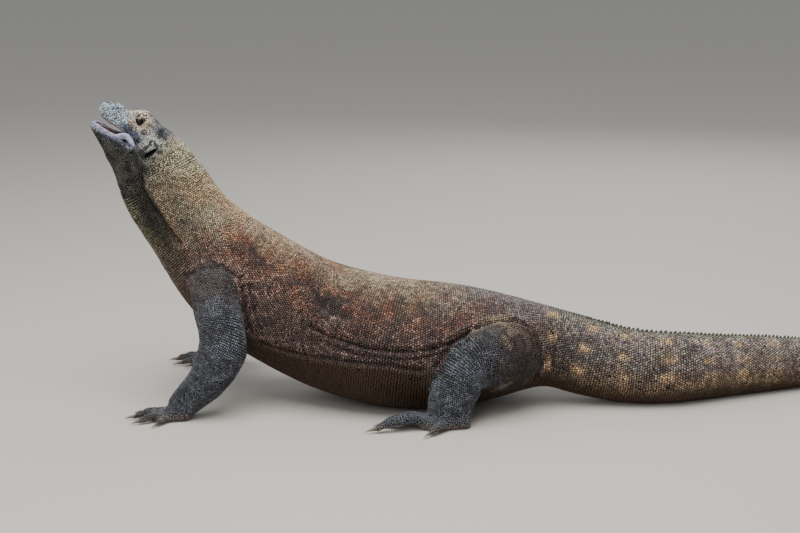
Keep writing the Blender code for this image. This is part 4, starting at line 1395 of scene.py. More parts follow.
def sow_scales(hide):
    """Every place where a scale grows: rings on the body and limbs, then the head, the paws and the gaps."""
    cells, lays = {}, []

    def add(lay, allowed, keep_off):
        clear = np.all([getattr(lay, name) > least for name, least in CLEAR.items()], axis=0)
        lay = picked(lay, allowed & clear)
        lays.append(picked(lay, sow(lay.points, widths_at(lay), keep_off, cells)))

    lay = hide.lay(ring_rows(hide.spines["body"], hide.tree, 0.25, 11.97, body_widths))
    add(lay, lay.on_body & (lay.station > 0.15), RING_CLEARANCE)
    for limb, parts in LIMB_PARTS.items():
        lay = hide.lay(ring_rows(hide.spines[limb], hide.tree, 0.35, 3.15, limb_widths))
        add(lay, np.isin(np.array(FLESH)[lay.nodes], parts[:2]), RING_CLEARANCE)
    lay = hide.lay(gap_places(hide, lays))
    add(lay, np.ones(len(lay.points), bool), GAP_CLEARANCE)
    return merged(lays)


def outlines(lay, widths, along, sides):
    """How far each scale reaches in each direction before it meets its neighbours."""
    tree = kd_tree(lay.points)
    near = np.array([[found[1] for found in tree.find_n(place, NEAREST + 1)][1:] for place in lay.points])
    across = np.cross(lay.normals, along)
    offset = lay.points[near] - lay.points[:, None]
    ahead, aside = (offset * along[:, None]).sum(2), (offset * across[:, None]).sum(2)
    square = ahead**2 + aside**2
    facing = (lay.normals[near] * lay.normals[:, None]).sum(2) > 0.2
    radius = np.empty((len(lay.points), sides))
    for index in range(sides):
        turn = 2 * math.pi * index / sides
        reach = ahead * math.cos(turn) + aside * math.sin(turn)
        limit = np.where((reach > 0.08 * np.sqrt(square)) & facing, 0.5 * square / np.maximum(reach, 1e-7), 1)
        radius[:, index] = np.minimum(limit.min(axis=1), np.where(lay.on_head, 0.74, 0.66) * widths)
    return radius, across


def growth_direction(lay, spines):
    """The way a scale points: down the body or the limb."""
    nearest = np.searchsorted(spines["body"].lengths, lay.length).clip(0, len(spines["body"].lengths) - 1)
    along = spines["body"].along[nearest].copy()
    along[lay.on_head] = -np.array(FORWARD)
    names = np.array(FLESH)[lay.nodes]
    for limb, parts in LIMB_PARTS.items():
        mine, spine = np.isin(names, parts), spines[limb]
        nearest = np.searchsorted(spine.lengths, lay.limb_length[mine]).clip(0, len(spine.lengths) - 1)
        along[mine] = spine.along[nearest]
    along -= (along * lay.normals).sum(1)[:, None] * lay.normals
    sizes = np.linalg.norm(along, axis=1, keepdims=True)
    along = np.where(sizes < 0.05, np.cross(lay.normals, (0.3, 0.9, 0.1)), along)
    return along / np.linalg.norm(along, axis=1, keepdims=True)


def chart(lay, name):
    """The root of each scale on an unwrap of the skin's own shape: round the body or limb, and along it."""
    limb = name.removeprefix("coat_")
    if limb in LIMB_PARTS:
        turn, reach = lay.limb_angle, lay.limb_length
        low, high = reach[~lay.on_paw].min(), reach[~lay.on_paw].max()
        across = 0.02 + 0.60 * (turn / (2 * math.pi) + 0.5)
        upward = 0.02 + 0.96 * np.clip((reach - low) / (high - low), 0, 1)
        paw = lay.points[lay.on_paw]
        base, size = paw.min(axis=0), np.ptp(paw, axis=0)
        flat = (lay.points - base) / size
        across = np.where(lay.on_paw, 0.66 + 0.32 * flat[:, 1], across)
        upward = np.where(lay.on_paw, 0.02 + 0.45 * flat[:, 0] + 0.50 * (lay.normals[:, 2] < 0), upward)
        return np.stack([across, upward], axis=1)
    if name == "coat_head":
        reach = lay.head[:, 0]
        turn = np.arctan2(lay.head[:, 1], lay.head[:, 2] + 0.010)
    else:
        reach, turn = lay.length, lay.angle
    reach = (reach - reach.min()) / np.ptp(reach)
    return np.stack([0.02 + 0.96 * (turn / (2 * math.pi) + 0.5), 0.02 + 0.96 * reach], axis=1)


def coat_mesh(name, lay, radius, along, across, heights, keels, tones, shades, less_rim_shade):
    """Domed scales as one mesh: a sunk rim, a shoulder and a crown for each."""
    sides, count = radius.shape[1], len(lay.points)
    turns = 2 * math.pi * np.arange(sides) / sides
    spoke = along[:, None] * np.cos(turns)[None, :, None] + across[:, None] * np.sin(turns)[None, :, None]
    rim = lay.points[:, None] + spoke * radius[..., None] - lay.normals[:, None] * RIM_DEPTH
    lengthwise, keel = np.abs(np.cos(turns)), keels[:, None]
    ridge = 0.72 + 0.28 * lengthwise**3 * keel - 0.24 * (1 - lengthwise) * keel
    shoulder = lay.points[:, None] + spoke * (SHOULDER * radius)[..., None]
    shoulder = shoulder + lay.normals[:, None] * (heights[:, None] * ridge)[..., None]
    top = (lay.points + lay.normals * heights[:, None])[:, None]
    points = np.concatenate([rim, shoulder, top], axis=1)
    points[..., 2] = np.maximum(points[..., 2], SCALE_FLOOR)
    stride = 2 * sides + 1
    base = (np.arange(count) * stride)[:, None]
    here, after = np.arange(sides), (np.arange(sides) + 1) % sides
    quads = [base + here, base + after, base + sides + after, base + sides + here]
    quads = np.stack(quads, axis=2).reshape(-1, 4)
    tops = [base + sides + here, base + sides + after, base + 2 * sides + 0 * here]
    tops = np.stack(tops, axis=2).reshape(-1, 3)
    mesh = mesh_from(name, points.reshape(-1, 3), [quads, tops])

    reach = np.concatenate([np.ones(sides), SHOULDER * np.ones(sides), [0]])
    turns = np.concatenate([turns, turns, [0]])
    spread = PATCH * reach[:, None] * np.stack([np.cos(turns), np.sin(turns)], axis=1)
    places = (chart(lay, name)[:, None] + spread[None]).reshape(-1, 2)
    corners = np.concatenate([quads.reshape(-1), tops.reshape(-1)])
    layer = mesh.uv_layers.new(name="OFBake")
    layer.uv.foreach_set("vector", places[corners].astype(np.float32).reshape(-1))
    write_colours(mesh, "ground", np.repeat(tones, stride, axis=0))
    write_values(mesh, "shade", np.repeat(shades, stride))
    # The crown runs from 0 on the rim, where shade is painted between the domes, to 1 on top; the flat belly
    # scales get less of this painted shade.
    crown = np.concatenate([np.zeros(sides), 0.80 * np.ones(sides), [1]])[None]
    write_values(mesh, "crown", (crown + less_rim_shade[:, None] * (1 - crown)).reshape(-1))
    return mesh


class DRAGON_OT_make_scales(bpy.types.Operator):
    """Grows the coat of scales over the skin"""

    bl_idname = "dragon.make_scales"
    bl_label = "Make scales"

    def execute(self, context):
        scales = settings("scales")
        hide = Hide()
        whole = sow_scales(hide)
        widths = widths_at(whole)
        along = growth_direction(whole, hide.spines)
        random = np.random.default_rng(11)
        count = len(whole.points)
        shades = 0.75 * random.random(count) ** 1.5 + 0.25 * noise(whole.points, 0.016, 61)
        tones = ground_colours(whole, random.random(count))
        tones *= 1 + 0.16 * (random.random((count, 3)) - 0.5)
        belly = whole.on_body * step(-0.03, 0.06, whole.side - belly_line(whole.station))
        belly = belly * step(1.6, 2.4, whole.station)
        shades += (0.35 - shades) * np.maximum(0.8 * belly, 0.35 * whole.on_limb)
        heights = scales.dome * widths * (0.84 + 0.32 * random.random(count)) * (1 - 0.62 * belly)
        heights *= np.where(whole.on_head, 0.85, 1)
        keels = step(5.6, 6.8, whole.station) * whole.on_body * (1 - step(0.55, 0.7, whole.side))
        names = np.array(FLESH)[whole.nodes]
        material = hide_material("scales", scales=True)
        radii = {sides: outlines(whole, widths, along, sides) for sides in (6, 8)}
        for name, (slot, parts) in PIECES.items():
            mine = np.isin(names, parts)
            radius, across = radii[8 if name == "coat_head" else 6]
            # The last value lessens the painted shade on the rims of the belly's flat scales.
            values = (radius * (1 - scales.gap), along, across, heights, keels, tones, shades, 0.45 * belly)
            mesh = coat_mesh(name, picked(whole, mine), *(value[mine] for value in values))
            mesh.materials.append(material)
            new_piece(name, mesh)
        return {"FINISHED"}


# ---- materials


def feed(item, inputs):
    """Links each input to the socket given for it, or sets its value."""
    for name, source in inputs.items():
        if isinstance(source, bpy.types.NodeSocket):
            item.id_data.links.new(source, item.inputs[name])
        else:
            item.inputs[name].default_value = source


def node(tree, kind, place, inputs=None, **values):
    """Adds a shader node, sets its properties and its inputs, and returns it."""
    added = tree.nodes.new(kind)
    added.location = (place[0] * 220, place[1] * -180)
    for name, value in values.items():
        setattr(added, name, value)
    feed(added, inputs or {})
    return added


def new_material(name):
    """A material with its tree of nodes and its shader."""
    material = bpy.data.materials.new(name)
    material.use_nodes = True
    return material, material.node_tree, material.node_tree.nodes["Principled BSDF"]


def attribute(tree, place, name, output="Fac"):
    """Numbers, or colours, kept on the mesh."""
    return node(tree, "ShaderNodeAttribute", place, attribute_name=name).outputs[output]


def object_noise(tree, place, scale, detail=2.0):
    """Fine noise in the object's own space."""
    start = node(tree, "ShaderNodeTexCoord", (place[0] - 1, place[1])).outputs["Object"]
    inputs = {"Vector": start, "Scale": scale, "Detail": detail}
    return node(tree, "ShaderNodeTexNoise", place, inputs).outputs["Fac"]


def maths(tree, place, operation, *inputs):
    """The result of one sum."""
    return node(tree, "ShaderNodeMath", place, dict(enumerate(inputs)), operation=operation).outputs[0]


def noise_range(tree, place, value, low, high):
    """Noise that is stretched, so that its middle runs from low to high."""
    inputs = {"Value": value, "From Min": 0.3, "From Max": 0.7, "To Min": low, "To Max": high}
    return node(tree, "ShaderNodeMapRange", place, inputs).outputs[0]


def scaled_colour(tree, place, colour, amount):
    inputs = {0: colour, "Scale": amount}
    return node(tree, "ShaderNodeVectorMath", place, inputs, operation="SCALE").outputs[0]


def bumped(tree, place, height, strength, distance):
    """The normal of a surface raised by a height."""
    inputs = {"Height": height, "Strength": strength, "Distance": distance}
    return node(tree, "ShaderNodeBump", place, inputs).outputs["Normal"]


def colour_ramp(tree, place, value, *stops):
    """The colour of a value, blended between stops given as a position and a colour."""
    ramp = node(tree, "ShaderNodeValToRGB", place, {"Fac": value})
    elements = ramp.color_ramp.elements
    for index, (position, colour) in enumerate(stops):
        element = elements[index] if index < 2 else elements.new(position)
        element.position, element.color = position, (*colour, 1)
    return ramp.outputs["Color"]


def hide_tones():
    """A node group that turns the ground colour and a scale's shade and crown into the hide's look."""
    tree = bpy.data.node_groups.get("hide_tones")
    if tree:
        return tree
    tree = bpy.data.node_groups.new("hide_tones", "ShaderNodeTree")
    ground = tree.interface.new_socket("Ground", in_out="INPUT", socket_type="NodeSocketColor")
    ground.default_value = (0.3, 0.25, 0.2, 1)
    for name, value in (("Shade", 0.5), ("Crown", 0.0), ("Gap dark", 0.2), ("Contrast", 0.5)):
        socket = tree.interface.new_socket(name, in_out="INPUT", socket_type="NodeSocketFloat")
        socket.default_value = value
    tree.interface.new_socket("Colour", in_out="OUTPUT", socket_type="NodeSocketColor")
    for name in ("Roughness", "Height"):
        tree.interface.new_socket(name, in_out="OUTPUT", socket_type="NodeSocketFloat")
    given = node(tree, "NodeGroupInput", (0, 0)).outputs
    end = node(tree, "NodeGroupOutput", (7, 0))
    grain, mottle = object_noise(tree, (1, 2), 420, 3), object_noise(tree, (1, 3), 60, 4)
    # Each scale is lighter or darker than the next by its own shade.
    low = maths(tree, (1, 1), "SUBTRACT", 1, given["Contrast"])
    high = maths(tree, (1, 1.5), "ADD", 1, given["Contrast"])
    lift = node(tree, "ShaderNodeMapRange", (1, 0), {"Value": given["Shade"], "To Min": low, "To Max": high})
    # The rim stays as dark as the skin between, and the crown is worn lighter.
    # Painted shade: each scale darkens towards its rim, down to the dark of the skin between, while its crown
    # keeps the full colour.
    inputs = {"Value": given["Crown"], "From Min": 0.05, "From Max": 0.85, "To Min": given["Gap dark"]}
    rise = node(tree, "ShaderNodeMapRange", (2, 1), inputs, interpolation_type="SMOOTHSTEP")
    level = maths(tree, (3, 0), "MULTIPLY", lift.outputs[0], rise.outputs[0])
    final = maths(tree, (4, 0), "MULTIPLY", level, noise_range(tree, (3, 2), grain, 0.82, 1.18))
    colour = scaled_colour(tree, (5, 0), given["Ground"], final)
    rough = noise_range(tree, (5, 2), mottle, 0.50, 0.78)
    feed(end, {"Colour": colour, "Roughness": rough, "Height": grain})
    return tree


def hide_material(name, scales):
    """Hide: the markings from the mesh, with the shared grain. The scales also darken towards their rims, as
    painted shade between the domes.
    """
    material, tree, shader = new_material(name)
    inputs = {"Ground": attribute(tree, (-3, 0), "ground", "Color"), "Gap dark": 0.12, "Contrast": 0.0}
    if scales:
        shade, crown = attribute(tree, (-3, 1), "shade"), attribute(tree, (-3, 2), "crown")
        inputs.update({"Shade": shade, "Crown": crown, "Gap dark": 0.09, "Contrast": 0.60})
    tones = node(tree, "ShaderNodeGroup", (-2, 0), inputs, node_tree=hide_tones()).outputs
    normal = bumped(tree, (-1, 1), tones["Height"], 0.35, 0.0006)
    feed(shader, {"Base Color": tones["Colour"], "Roughness": tones["Roughness"], "Normal": normal})
    feed(shader, {"Specular IOR Level": 0.36 if scales else 0.12})
    return material


# ---- crest, eyes, claws and mouth


def lofted(rings):
    """Points and faces of a closed tube through rings that have the same number of points."""
    sides, count = len(rings[0]), len(rings)
    points = np.concatenate(rings)
    base = (np.arange(count - 1) * sides)[:, None]
    here, after = np.arange(sides), (np.arange(sides) + 1) % sides
    quads = [base + here, base + after, base + sides + after, base + sides + here]
    quads = np.stack(quads, axis=2).reshape(-1, 4)
    middles = [rings[0].mean(axis=0), rings[-1].mean(axis=0)]
    points = np.concatenate([points, middles])
    last = (count - 1) * sides
    first_cap = np.stack([after, here, np.full(sides, len(points) - 2)], axis=1)
    last_cap = np.stack([last + here, last + after, np.full(sides, len(points) - 1)], axis=1)
    return points, quads, np.concatenate([first_cap, last_cap])


def joined_lofts(name, lofts):
    """One mesh of several lofts, each given as points, quads and triangles."""
    points, quads, triangles, count = [], [], [], 0
    for own, four, three in lofts:
        points.append(own)
        quads.append(four + count)
        triangles.append(three + count)
        count += len(own)
    mesh = mesh_from(name, np.concatenate(points), [np.concatenate(quads), np.concatenate(triangles)])
    shape = bmesh.new()
    shape.from_mesh(mesh)
    bmesh.ops.recalc_face_normals(shape, faces=shape.faces)
    shape.to_mesh(mesh)
    shape.free()
    return mesh


def ellipse_ring(centre, first, second, sides, power=2.0):
    """Points round an ellipse, squarer as the power grows."""
    turns = 2 * math.pi * np.arange(sides) / sides
    across = np.sign(np.cos(turns)) * np.abs(np.cos(turns)) ** (2 / power)
    upward = np.sign(np.sin(turns)) * np.abs(np.sin(turns)) ** (2 / power)
    return centre + across[:, None] * first + upward[:, None] * second


# A fin's rings: rise, lean, length and thickness, as shares of the fin's own.
FIN_RINGS = (
    (-0.25, 0, 1.0, 1.0),
    (0.20, 0.06, 0.90, 0.85),
    (0.60, 0.20, 0.72, 0.60),
    (0.88, 0.36, 0.48, 0.36),
    (1.0, 0.46, 0.20, 0.16),
)
FIN_SIDES = 8
# How light each ring of a fin is, from as dark as the skin at its root to its full colour at the tip, and
# then the middles of its two ends.
FIN_CROWNS = (0, 0.3, 0.7, 0.9, 1, 0, 1)
# Where the row of fins starts and ends, how tall it is on the way, and how far apart full-grown fins stand.
CREST_STATIONS = (5.9, 6.9, 9.5, 11.0, 11.9)
CREST_GROWTH = (0.30, 1, 0.85, 0.55, 0.22)
CREST_END = 11.93
FIN_GAP = 0.0118


class DRAGON_OT_make_crest(bpy.types.Operator):
    """Adds the row of fins along the top of the tail"""

    bl_idname = "dragon.make_crest"
    bl_label = "Make crest"

    def execute(self, context):
        height = settings("scales").crest
        hide = Hide()
        spine = hide.spines["body"]
        random = np.random.default_rng(5)
        at, lofts = spine.length_at(CREST_STATIONS[0]), []
        while at < spine.length_at(CREST_END):
            station = float(np.interp(at, spine.lengths, spine.stations))
            grow = float(np.interp(station, CREST_STATIONS, CREST_GROWTH))
            middle, along, up, left = spine.at(at)
            root = np.array(hide.tree.find_nearest(Vector(middle + 0.08 * up))[0])
            tall = height * grow * (0.85 + 0.3 * random.random())
            length, wide = 0.0050 * (0.5 + 0.5 * grow), 0.0023 * (0.5 + 0.5 * grow)
            rings = []
            for rise, lean, reach, thick in FIN_RINGS:
                centre = root + up * tall * rise + along * length * lean
                rings.append(ellipse_ring(centre, along * length * reach, left * wide * thick, FIN_SIDES))
            lofts.append(lofted(rings))
            at += FIN_GAP * (0.5 + 0.5 * grow)
        mesh = joined_lofts("tail_crest", lofts)
        points, triangles = arrays(mesh)
        nodes = np.full(len(points), FLESH.index("tail_2"))
        lay = Lay(points, outward(points, triangles), nodes, hide.spines)
        moss = np.array(settings("colours").moss) * 0.30
        write_colours(mesh, "ground", toward(ground_colours(lay), moss, np.full(len(points), 0.8)))
        write_values(mesh, "shade", 0.3 + 0.4 * noise(points, 0.014, 3))
        fin_crowns = np.repeat(FIN_CROWNS, [FIN_SIDES] * len(FIN_RINGS) + [1, 1])
        write_values(mesh, "crown", step(0, 0.7, np.tile(fin_crowns, len(lofts))))
        mesh.materials.append(bpy.data.materials["scales"])
        new_piece("tail_crest", mesh)
        return {"FINISHED"}


EYE_SIDES = 40


def eye_mesh(name, centre, gaze):
    """An eyeball with a cornea that bulges over the iris; each point keeps its angle from the gaze."""
    gaze = np.array(gaze.normalized())
    side = np.cross(gaze, (0, 0, 1))
    side /= np.linalg.norm(side)
    rise = np.cross(side, gaze)
    rings, angles = [], []
    for turn in np.concatenate([np.linspace(0.02, 0.9, 18), np.linspace(1.0, math.pi - 0.05, 14)]):
        radius = EYE_RADIUS - 0.00015 + 0.0007 * float(bell(turn, 0, 0.42))
        reach = radius * math.sin(turn)
        middle = np.array(centre) + gaze * radius * math.cos(turn)
        rings.append(ellipse_ring(middle, side * reach, rise * reach, EYE_SIDES))
        angles += [turn] * EYE_SIDES
    mesh = joined_lofts(name, [lofted(rings)])
    write_values(mesh, "gaze", np.array(angles + [0, math.pi]))
    return mesh


# Angles from the gaze where the iris changes, and its brightness there.
IRIS_RINGS = ((0.36, 1.3), (0.52, 0.55), (0.62, 0.16), (0.90, 0.30))


def eye_material():
    """A dark round eye: black pupil, brown streaked iris and dark white, under a clear wet coat."""
    iris = np.array(settings("eyes").iris)
    material, tree, shader = new_material("eye")
    gaze = attribute(tree, (-4, 0), "gaze")
    shift = maths(tree, (-3, 1), "MULTIPLY_ADD", object_noise(tree, (-4, 2), 900), 0.10, gaze)
    rings = [(position, iris * shade) for position, shade in IRIS_RINGS]
    colour = colour_ramp(tree, (-2, 0), shift, (0.30, (0.002, 0.002, 0.003)), *rings)
    feed(shader, {"Base Color": colour, "Roughness": 0.12, "Specular IOR Level": 0.15})
    feed(shader, {"Coat Weight": 0.25, "Coat Roughness": 0.03})
    return material


class DRAGON_OT_make_eyes(bpy.types.Operator):
    """Sets the eyeballs behind the lids"""

    bl_idname = "dragon.make_eyes"
    bl_label = "Make eyes"

    def execute(self, context):
        material = eye_material()
        for side, name in zip(SIDES, EYES):
            low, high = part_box(name)
            out = LEFT if side == "left" else -LEFT
            mesh = eye_mesh(f"eyeball_{side}", (low + high) / 2, out + 0.28 * FORWARD + 0.10 * CROWN)
            mesh.materials.append(material)
            new_piece(f"eyeball_{side}", mesh, replaces=(name,))
        return {"FINISHED"}


# A claw's rings and their points, and half its width and height at the root, in metres.
CLAW_RINGS, CLAW_SIDES = 13, 14
CLAW_WIDE, CLAW_TALL = 0.0034, 0.0046


def claw_loft(claw, paw):
    """One curved claw from its root in the toe to its point, along the solid it stands for."""
    points, _ = solid(claw)
    root = touching(points, tree_of(*solid(paw)), CLAW_SEAM).mean(axis=0)
    tip = points[np.linalg.norm(points - root, axis=1).argmax()]
    reach = tip - root
    part = (points - root) @ reach / (reach @ reach)
    half = points[(part > 0.30) & (part < 0.70)].mean(axis=0)
    start = root - 0.22 * reach
    bend = 2 * half - (start + tip) / 2
    side = np.cross(reach, (0, 0, 1))
    side /= np.linalg.norm(side)
    rings = []
    for t in np.linspace(0, 1, CLAW_RINGS):
        centre = (1 - t) ** 2 * start + 2 * t * (1 - t) * bend + t**2 * tip
        heading = 2 * (1 - t) * (bend - start) + 2 * t * (tip - bend)
        rise = np.cross(side, heading)
        rise /= np.linalg.norm(rise)
        taper = (1 - t**1.5) * 0.94 + 0.05 * (1 - t)
        tall = CLAW_TALL if rise[2] > 0 else -CLAW_TALL
        rings.append(ellipse_ring(centre, side * CLAW_WIDE * taper, rise * tall * taper, CLAW_SIDES, 1.8))
    return lofted(rings)


def claw_material():
    """Horn: dark at the root, streaked along its length and rubbed pale at the point."""
    claws = settings("claws")
    material, tree, shader = new_material("claw")
    grain = object_noise(tree, (-4, 2), 520, 4)
    blend = maths(tree, (-3, 1), "MULTIPLY_ADD", grain, 0.45, attribute(tree, (-4, 0), "reach"))
    colour = colour_ramp(tree, (-2, 0), blend, (0.30, claws.horn), (1.0, claws.tip))
    normal = bumped(tree, (-2, 2), grain, 0.3, 0.0004)
    feed(shader, {"Base Color": colour, "Roughness": 0.36, "Normal": normal})
    return material


class DRAGON_OT_make_claws(bpy.types.Operator):
    """Shapes the five claws of each hand and foot"""

    bl_idname = "dragon.make_claws"
    bl_label = "Make claws"

    def execute(self, context):
        material = claw_material()
        for paw in PAWS:
            names = [f"claw_{paw}_{number}" for number in range(1, 6)]
            mesh = joined_lofts(f"claws_{paw}", [claw_loft(name, paw) for name in names])
            reach = np.concatenate([np.repeat(np.linspace(0, 1, CLAW_RINGS), CLAW_SIDES), [0, 1]])
            write_values(mesh, "reach", np.tile(reach, len(names)))
            mesh.materials.append(material)
            new_piece(f"claws_{paw}", mesh, replaces=names)
        return {"FINISHED"}


# Lines along the mouth in the head's own axes: forward, outwards and rise.
LOWER_GUM = (
    (0.1345, 0.0000, -0.0470),
    (0.1325, 0.0100, -0.0462),
    (0.1230, 0.0192, -0.0445),
    (0.1050, 0.0236, -0.0418),
    (0.0880, 0.0272, -0.0388),
    (0.0710, 0.0305, -0.0345),
    (0.0560, 0.0325, -0.0300),
)
UPPER_GUM = (
    (0.1370, 0.0000, -0.0130),
    (0.1345, 0.0100, -0.0150),
    (0.1280, 0.0172, -0.0178),
    (0.1160, 0.0218, -0.0200),
    (0.0980, 0.0250, -0.0205),
    (0.0800, 0.0275, -0.0200),
    (0.0620, 0.0295, -0.0180),
    (0.0540, 0.0300, -0.0160),
)
MOUTH_CORNER = (
    (0.0760, 0.0330, -0.0372),
    (0.0690, 0.0342, -0.0338),
    (0.0620, 0.0352, -0.0285),
    (0.0550, 0.0366, -0.0228),
    (0.0470, 0.0385, -0.0205),
    (0.0380, 0.0406, -0.0225),
    (0.0290, 0.0422, -0.0258),
    (0.0210, 0.0430, -0.0288),
)


RIDGE_SIDES = 16


def mirrored(line):
    """A line from the middle round one side, carried round the other side too."""
    return [(forward, -out, rise) for forward, out, rise in reversed(line[1:])] + list(line)


def smooth_line(places, steps=8):
    """Points a step apart on a smooth line through places in the head's axes."""
    knots = np.array([list(head_point(*place)) for place in places])
    knots = np.concatenate([[2 * knots[0] - knots[1]], knots, [2 * knots[-1] - knots[-2]]])
    line = []
    for a, b, c, d in zip(knots, knots[1:], knots[2:], knots[3:]):
        line += [curve_point(a, b, c, d, t) for t in np.arange(steps) / steps]
    line.append(knots[-2])
    return np.array(line)


def ridge_mesh(name, line, wide, tall, seed, swell=0.0):
    """A soft uneven ridge along a line, rounded off at both ends and fuller by swell in the middle."""
    heading = np.gradient(line, axis=0)
    heading /= np.linalg.norm(heading, axis=1, keepdims=True)
    crown = np.array(CROWN)
    rings = []
    for index, (point, way) in enumerate(zip(line, heading)):
        side = np.cross(way, crown)
        side /= np.linalg.norm(side)
        rise = np.cross(side, way)
        part = index / (len(line) - 1)
        taper = math.sqrt(max(1 - abs(2 * part - 1) ** (8 if swell == 0 else 2.6), 0.02))
        taper *= 1 + swell * math.sin(math.pi * part)
        lump = 0.86 + 0.28 * float(noise(point[None], 0.0065, seed)[0])
        rings.append(ellipse_ring(point, side * wide * taper * lump, rise * tall * taper * lump, RIDGE_SIDES))
    return joined_lofts(name, [lofted(rings)])


def lining_mesh(name, source, ripple):
    """A soft lining over a node of the mouth, with low ridges across it."""
    points, triangles = solid(source)
    mesh = remeshed(points + 0.0002 * outward(points, triangles), triangles, 0.0012)
    mesh.name = name
    points, triangles = arrays(mesh)
    _, ring, valence = neighbours(mesh)
    points = relaxed(points, ring, valence, np.full(len(points), 6.0))
    places = head_places(points)
    waves = np.cos(2 * math.pi * (places[:, 0] + 0.25 * np.abs(places[:, 1])) / 0.0075) * ripple
    waves += 0.0010 * (noise(points, 0.005, 71) - 0.5) - 0.0012 * bell(places[:, 1], 0, 0.0016)
    points += outward(points, triangles) * waves[:, None]
    move_points(mesh, parted(points, source == "palate"))
    return mesh


def mouth_tones(mesh, base):
    """Writes the mouth's colours: the base on the lips, flesh inside, and near black towards the throat, as
    painted shade deep in the mouth.
    """
    mouth = settings("mouth")
    points, _ = arrays(mesh)
    places = head_places(points)
    patches = layered(points, 0.010, 81)
    tone = np.tile(np.array(base), (len(points), 1))
    tone = toward(tone, mouth.flesh, 0.5 * step(0.50, 0.66, patches))
    # Painted shade: the lining turns near black towards the back of the mouth, most of all along its middle.
    inner = 1 - step(0.012, 0.022, np.abs(places[:, 1]))
    deep = step(0.094, 0.062, places[:, 0]) * (0.35 + 0.65 * inner)
    write_colours(mesh, "ground", toward(tone, mouth.throat, deep))


def mouth_material():
    """Wet flesh: the mesh's own colours with fine veins, glossy where it is smooth."""
    material, tree, shader = new_material("mouth")
    veins = object_noise(tree, (-4, 2), 260, 5)
    level = noise_range(tree, (-3, 1), veins, 0.72, 1.15)
    colour = scaled_colour(tree, (-2, 0), attribute(tree, (-4, 0), "ground", "Color"), level)
    normal = bumped(tree, (-2, 2), veins, 0.4, 0.0005)
    feed(shader, {"Base Color": colour, "Roughness": 0.30, "Normal": normal})
    feed(shader, {"Coat Weight": 0.35, "Coat Roughness": 0.12})
    return material


class DRAGON_OT_make_mouth(bpy.types.Operator):
    """Lines the mouth and shapes the gums and the soft corners of the lips"""

    bl_idname = "dragon.make_mouth"
    bl_label = "Make mouth"

    def execute(self, context):
        mouth = settings("mouth")
        material = mouth_material()
        upper = parted(smooth_line(mirrored(UPPER_GUM)), True)
        lower = parted(smooth_line(mirrored(LOWER_GUM)), False)
        pieces = [
            (lining_mesh("mouth_roof", "palate", 0.0005), ("palate",), mouth.flesh),
            (lining_mesh("mouth_bed", "mouth_floor", 0.0003), ("mouth_floor",), mouth.flesh),
            (ridge_mesh("gum_upper", upper, 0.0016, 0.0022, 91), (), mouth.flesh),
            (ridge_mesh("gum_lower", lower, 0.0022, 0.0032, 93), (), mouth.gum),
        ]
        for side in SIDES:
            way = 1 if side == "left" else -1
            line = smooth_line([(forward, way * out, rise) for forward, out, rise in MOUTH_CORNER])
            corner = ridge_mesh(f"mouth_corner_{side}", line, 0.0030, 0.0056, 95, swell=0.35)
            pieces.append((corner, (), mouth.corner))
        for mesh, replaced, base in pieces:
            mouth_tones(mesh, base)
            mesh.materials.append(material)
            new_piece(mesh.name, mesh, replaces=replaced)
        return {"FINISHED"}


# ---- stage


FLOOR_RADIUS = 60
SKY_TINT = (0.90, 0.95, 1.0, 1)
SENSOR = 36
# What the camera looks at.
TARGET = Vector((-0.4528, -0.0500, 0.3330))
# Each light's name, its place from the middle of the model, its size, and the setting that powers it.
LIGHTS = (
    ("key", Vector((-0.6, -0.9, 3.2)), 3.4, "key"),
    ("fill", Vector((-1.6, -3.6, 1.6)), 2.6, "fill"),
    ("back", Vector((0.8, 3.4, 2.2)), 2.6, "fill"),
)


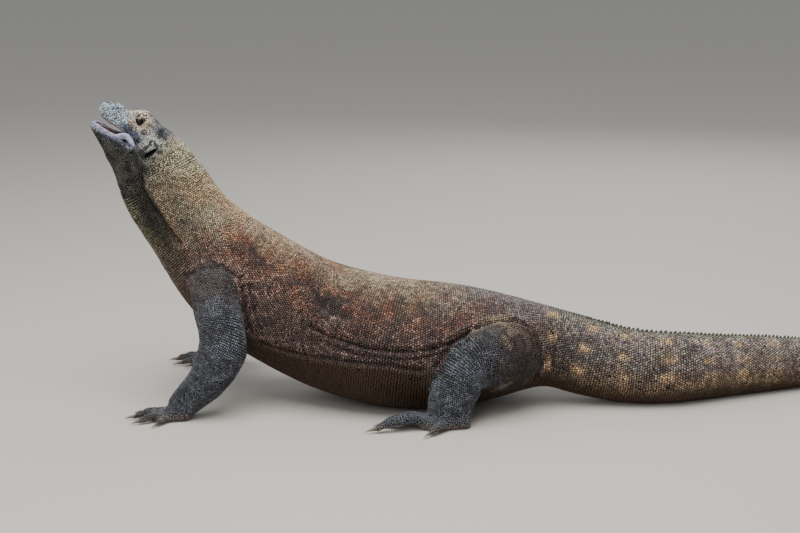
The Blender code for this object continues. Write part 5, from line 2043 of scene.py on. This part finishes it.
class DRAGON_OT_make_stage(bpy.types.Operator):
    """Adds the floor, the lights and the camera"""

    bl_idname = "dragon.make_stage"
    bl_label = "Make stage"

    def execute(self, context):
        stage = settings("stage")
        shape = bmesh.new()
        bmesh.ops.create_circle(shape, cap_ends=True, cap_tris=False, segments=96, radius=FLOOR_RADIUS)
        mesh = bpy.data.meshes.new("floor")
        shape.to_mesh(mesh)
        shape.free()
        floor = bpy.data.objects.new("floor", mesh)
        context.scene.collection.objects.link(floor)
        material, _, shader = new_material("floor")
        feed(shader, {"Base Color": (*stage.floor, 1), "Roughness": 0.9})
        mesh.materials.append(material)
        low, high = CAD_BOX
        middle = (low + high) / 2
        for name, offset, size, power in LIGHTS:
            light = bpy.data.objects.new(name, bpy.data.lights.new(name, "AREA"))
            light.data.size = size
            light.data.energy = getattr(stage, power)
            light.location = middle + offset
            light.rotation_euler = (-offset).to_track_quat("-Z", "Y").to_euler()
            context.scene.collection.objects.link(light)
        world = bpy.data.worlds.new("studio")
        world.use_nodes = True
        background = world.node_tree.nodes["Background"]
        feed(background, {"Color": SKY_TINT, "Strength": stage.sky})
        context.scene.world = world
        camera = bpy.data.objects.new("camera", bpy.data.cameras.new("camera"))
        camera.data.lens = stage.lens
        camera.data.sensor_width = SENSOR
        back = Vector((0, -math.cos(stage.elevation), math.sin(stage.elevation)))
        camera.location = TARGET + back * stage.distance
        camera.rotation_euler = (-back).to_track_quat("-Z", "Y").to_euler()
        context.scene.collection.objects.link(camera)
        context.scene.camera = camera
        return {"FINISHED"}


class DRAGON_PT_panel(bpy.types.Panel):
    """The dragon's pieces and their settings"""

    bl_label = "Komodo dragon"
    bl_idname = "DRAGON_PT_panel"
    bl_space_type = "VIEW_3D"
    bl_region_type = "UI"
    bl_category = "Dragon"

    def draw(self, context):
        for operator in OPERATORS:
            self.layout.operator(operator.bl_idname)
        for name, group in SETTINGS.items():
            box = self.layout.box()
            box.label(text=group.__name__.replace("Settings", ""))
            for prop in group.__annotations__:
                box.prop(getattr(context.scene, name), prop)


OPERATORS = (
    DRAGON_OT_make_skin,
    DRAGON_OT_make_scales,
    DRAGON_OT_make_crest,
    DRAGON_OT_make_eyes,
    DRAGON_OT_make_claws,
    DRAGON_OT_make_mouth,
    DRAGON_OT_make_stage,
)
CLASSES = (*SETTINGS.values(), *OPERATORS, DRAGON_PT_panel)


def register():
    for item in CLASSES:
        bpy.utils.register_class(item)
    for name, group in SETTINGS.items():
        setattr(bpy.types.Scene, name, PointerProperty(type=group))


def unregister():
    for name in SETTINGS:
        delattr(bpy.types.Scene, name)
    for item in reversed(CLASSES):
        bpy.utils.unregister_class(item)


def main():
    register()
    bpy.ops.dragon.make_skin()
    bpy.ops.dragon.make_scales()
    bpy.ops.dragon.make_crest()
    bpy.ops.dragon.make_eyes()
    bpy.ops.dragon.make_claws()
    bpy.ops.dragon.make_mouth()
    bpy.ops.dragon.make_stage()


if __name__ == "__main__":
    main()
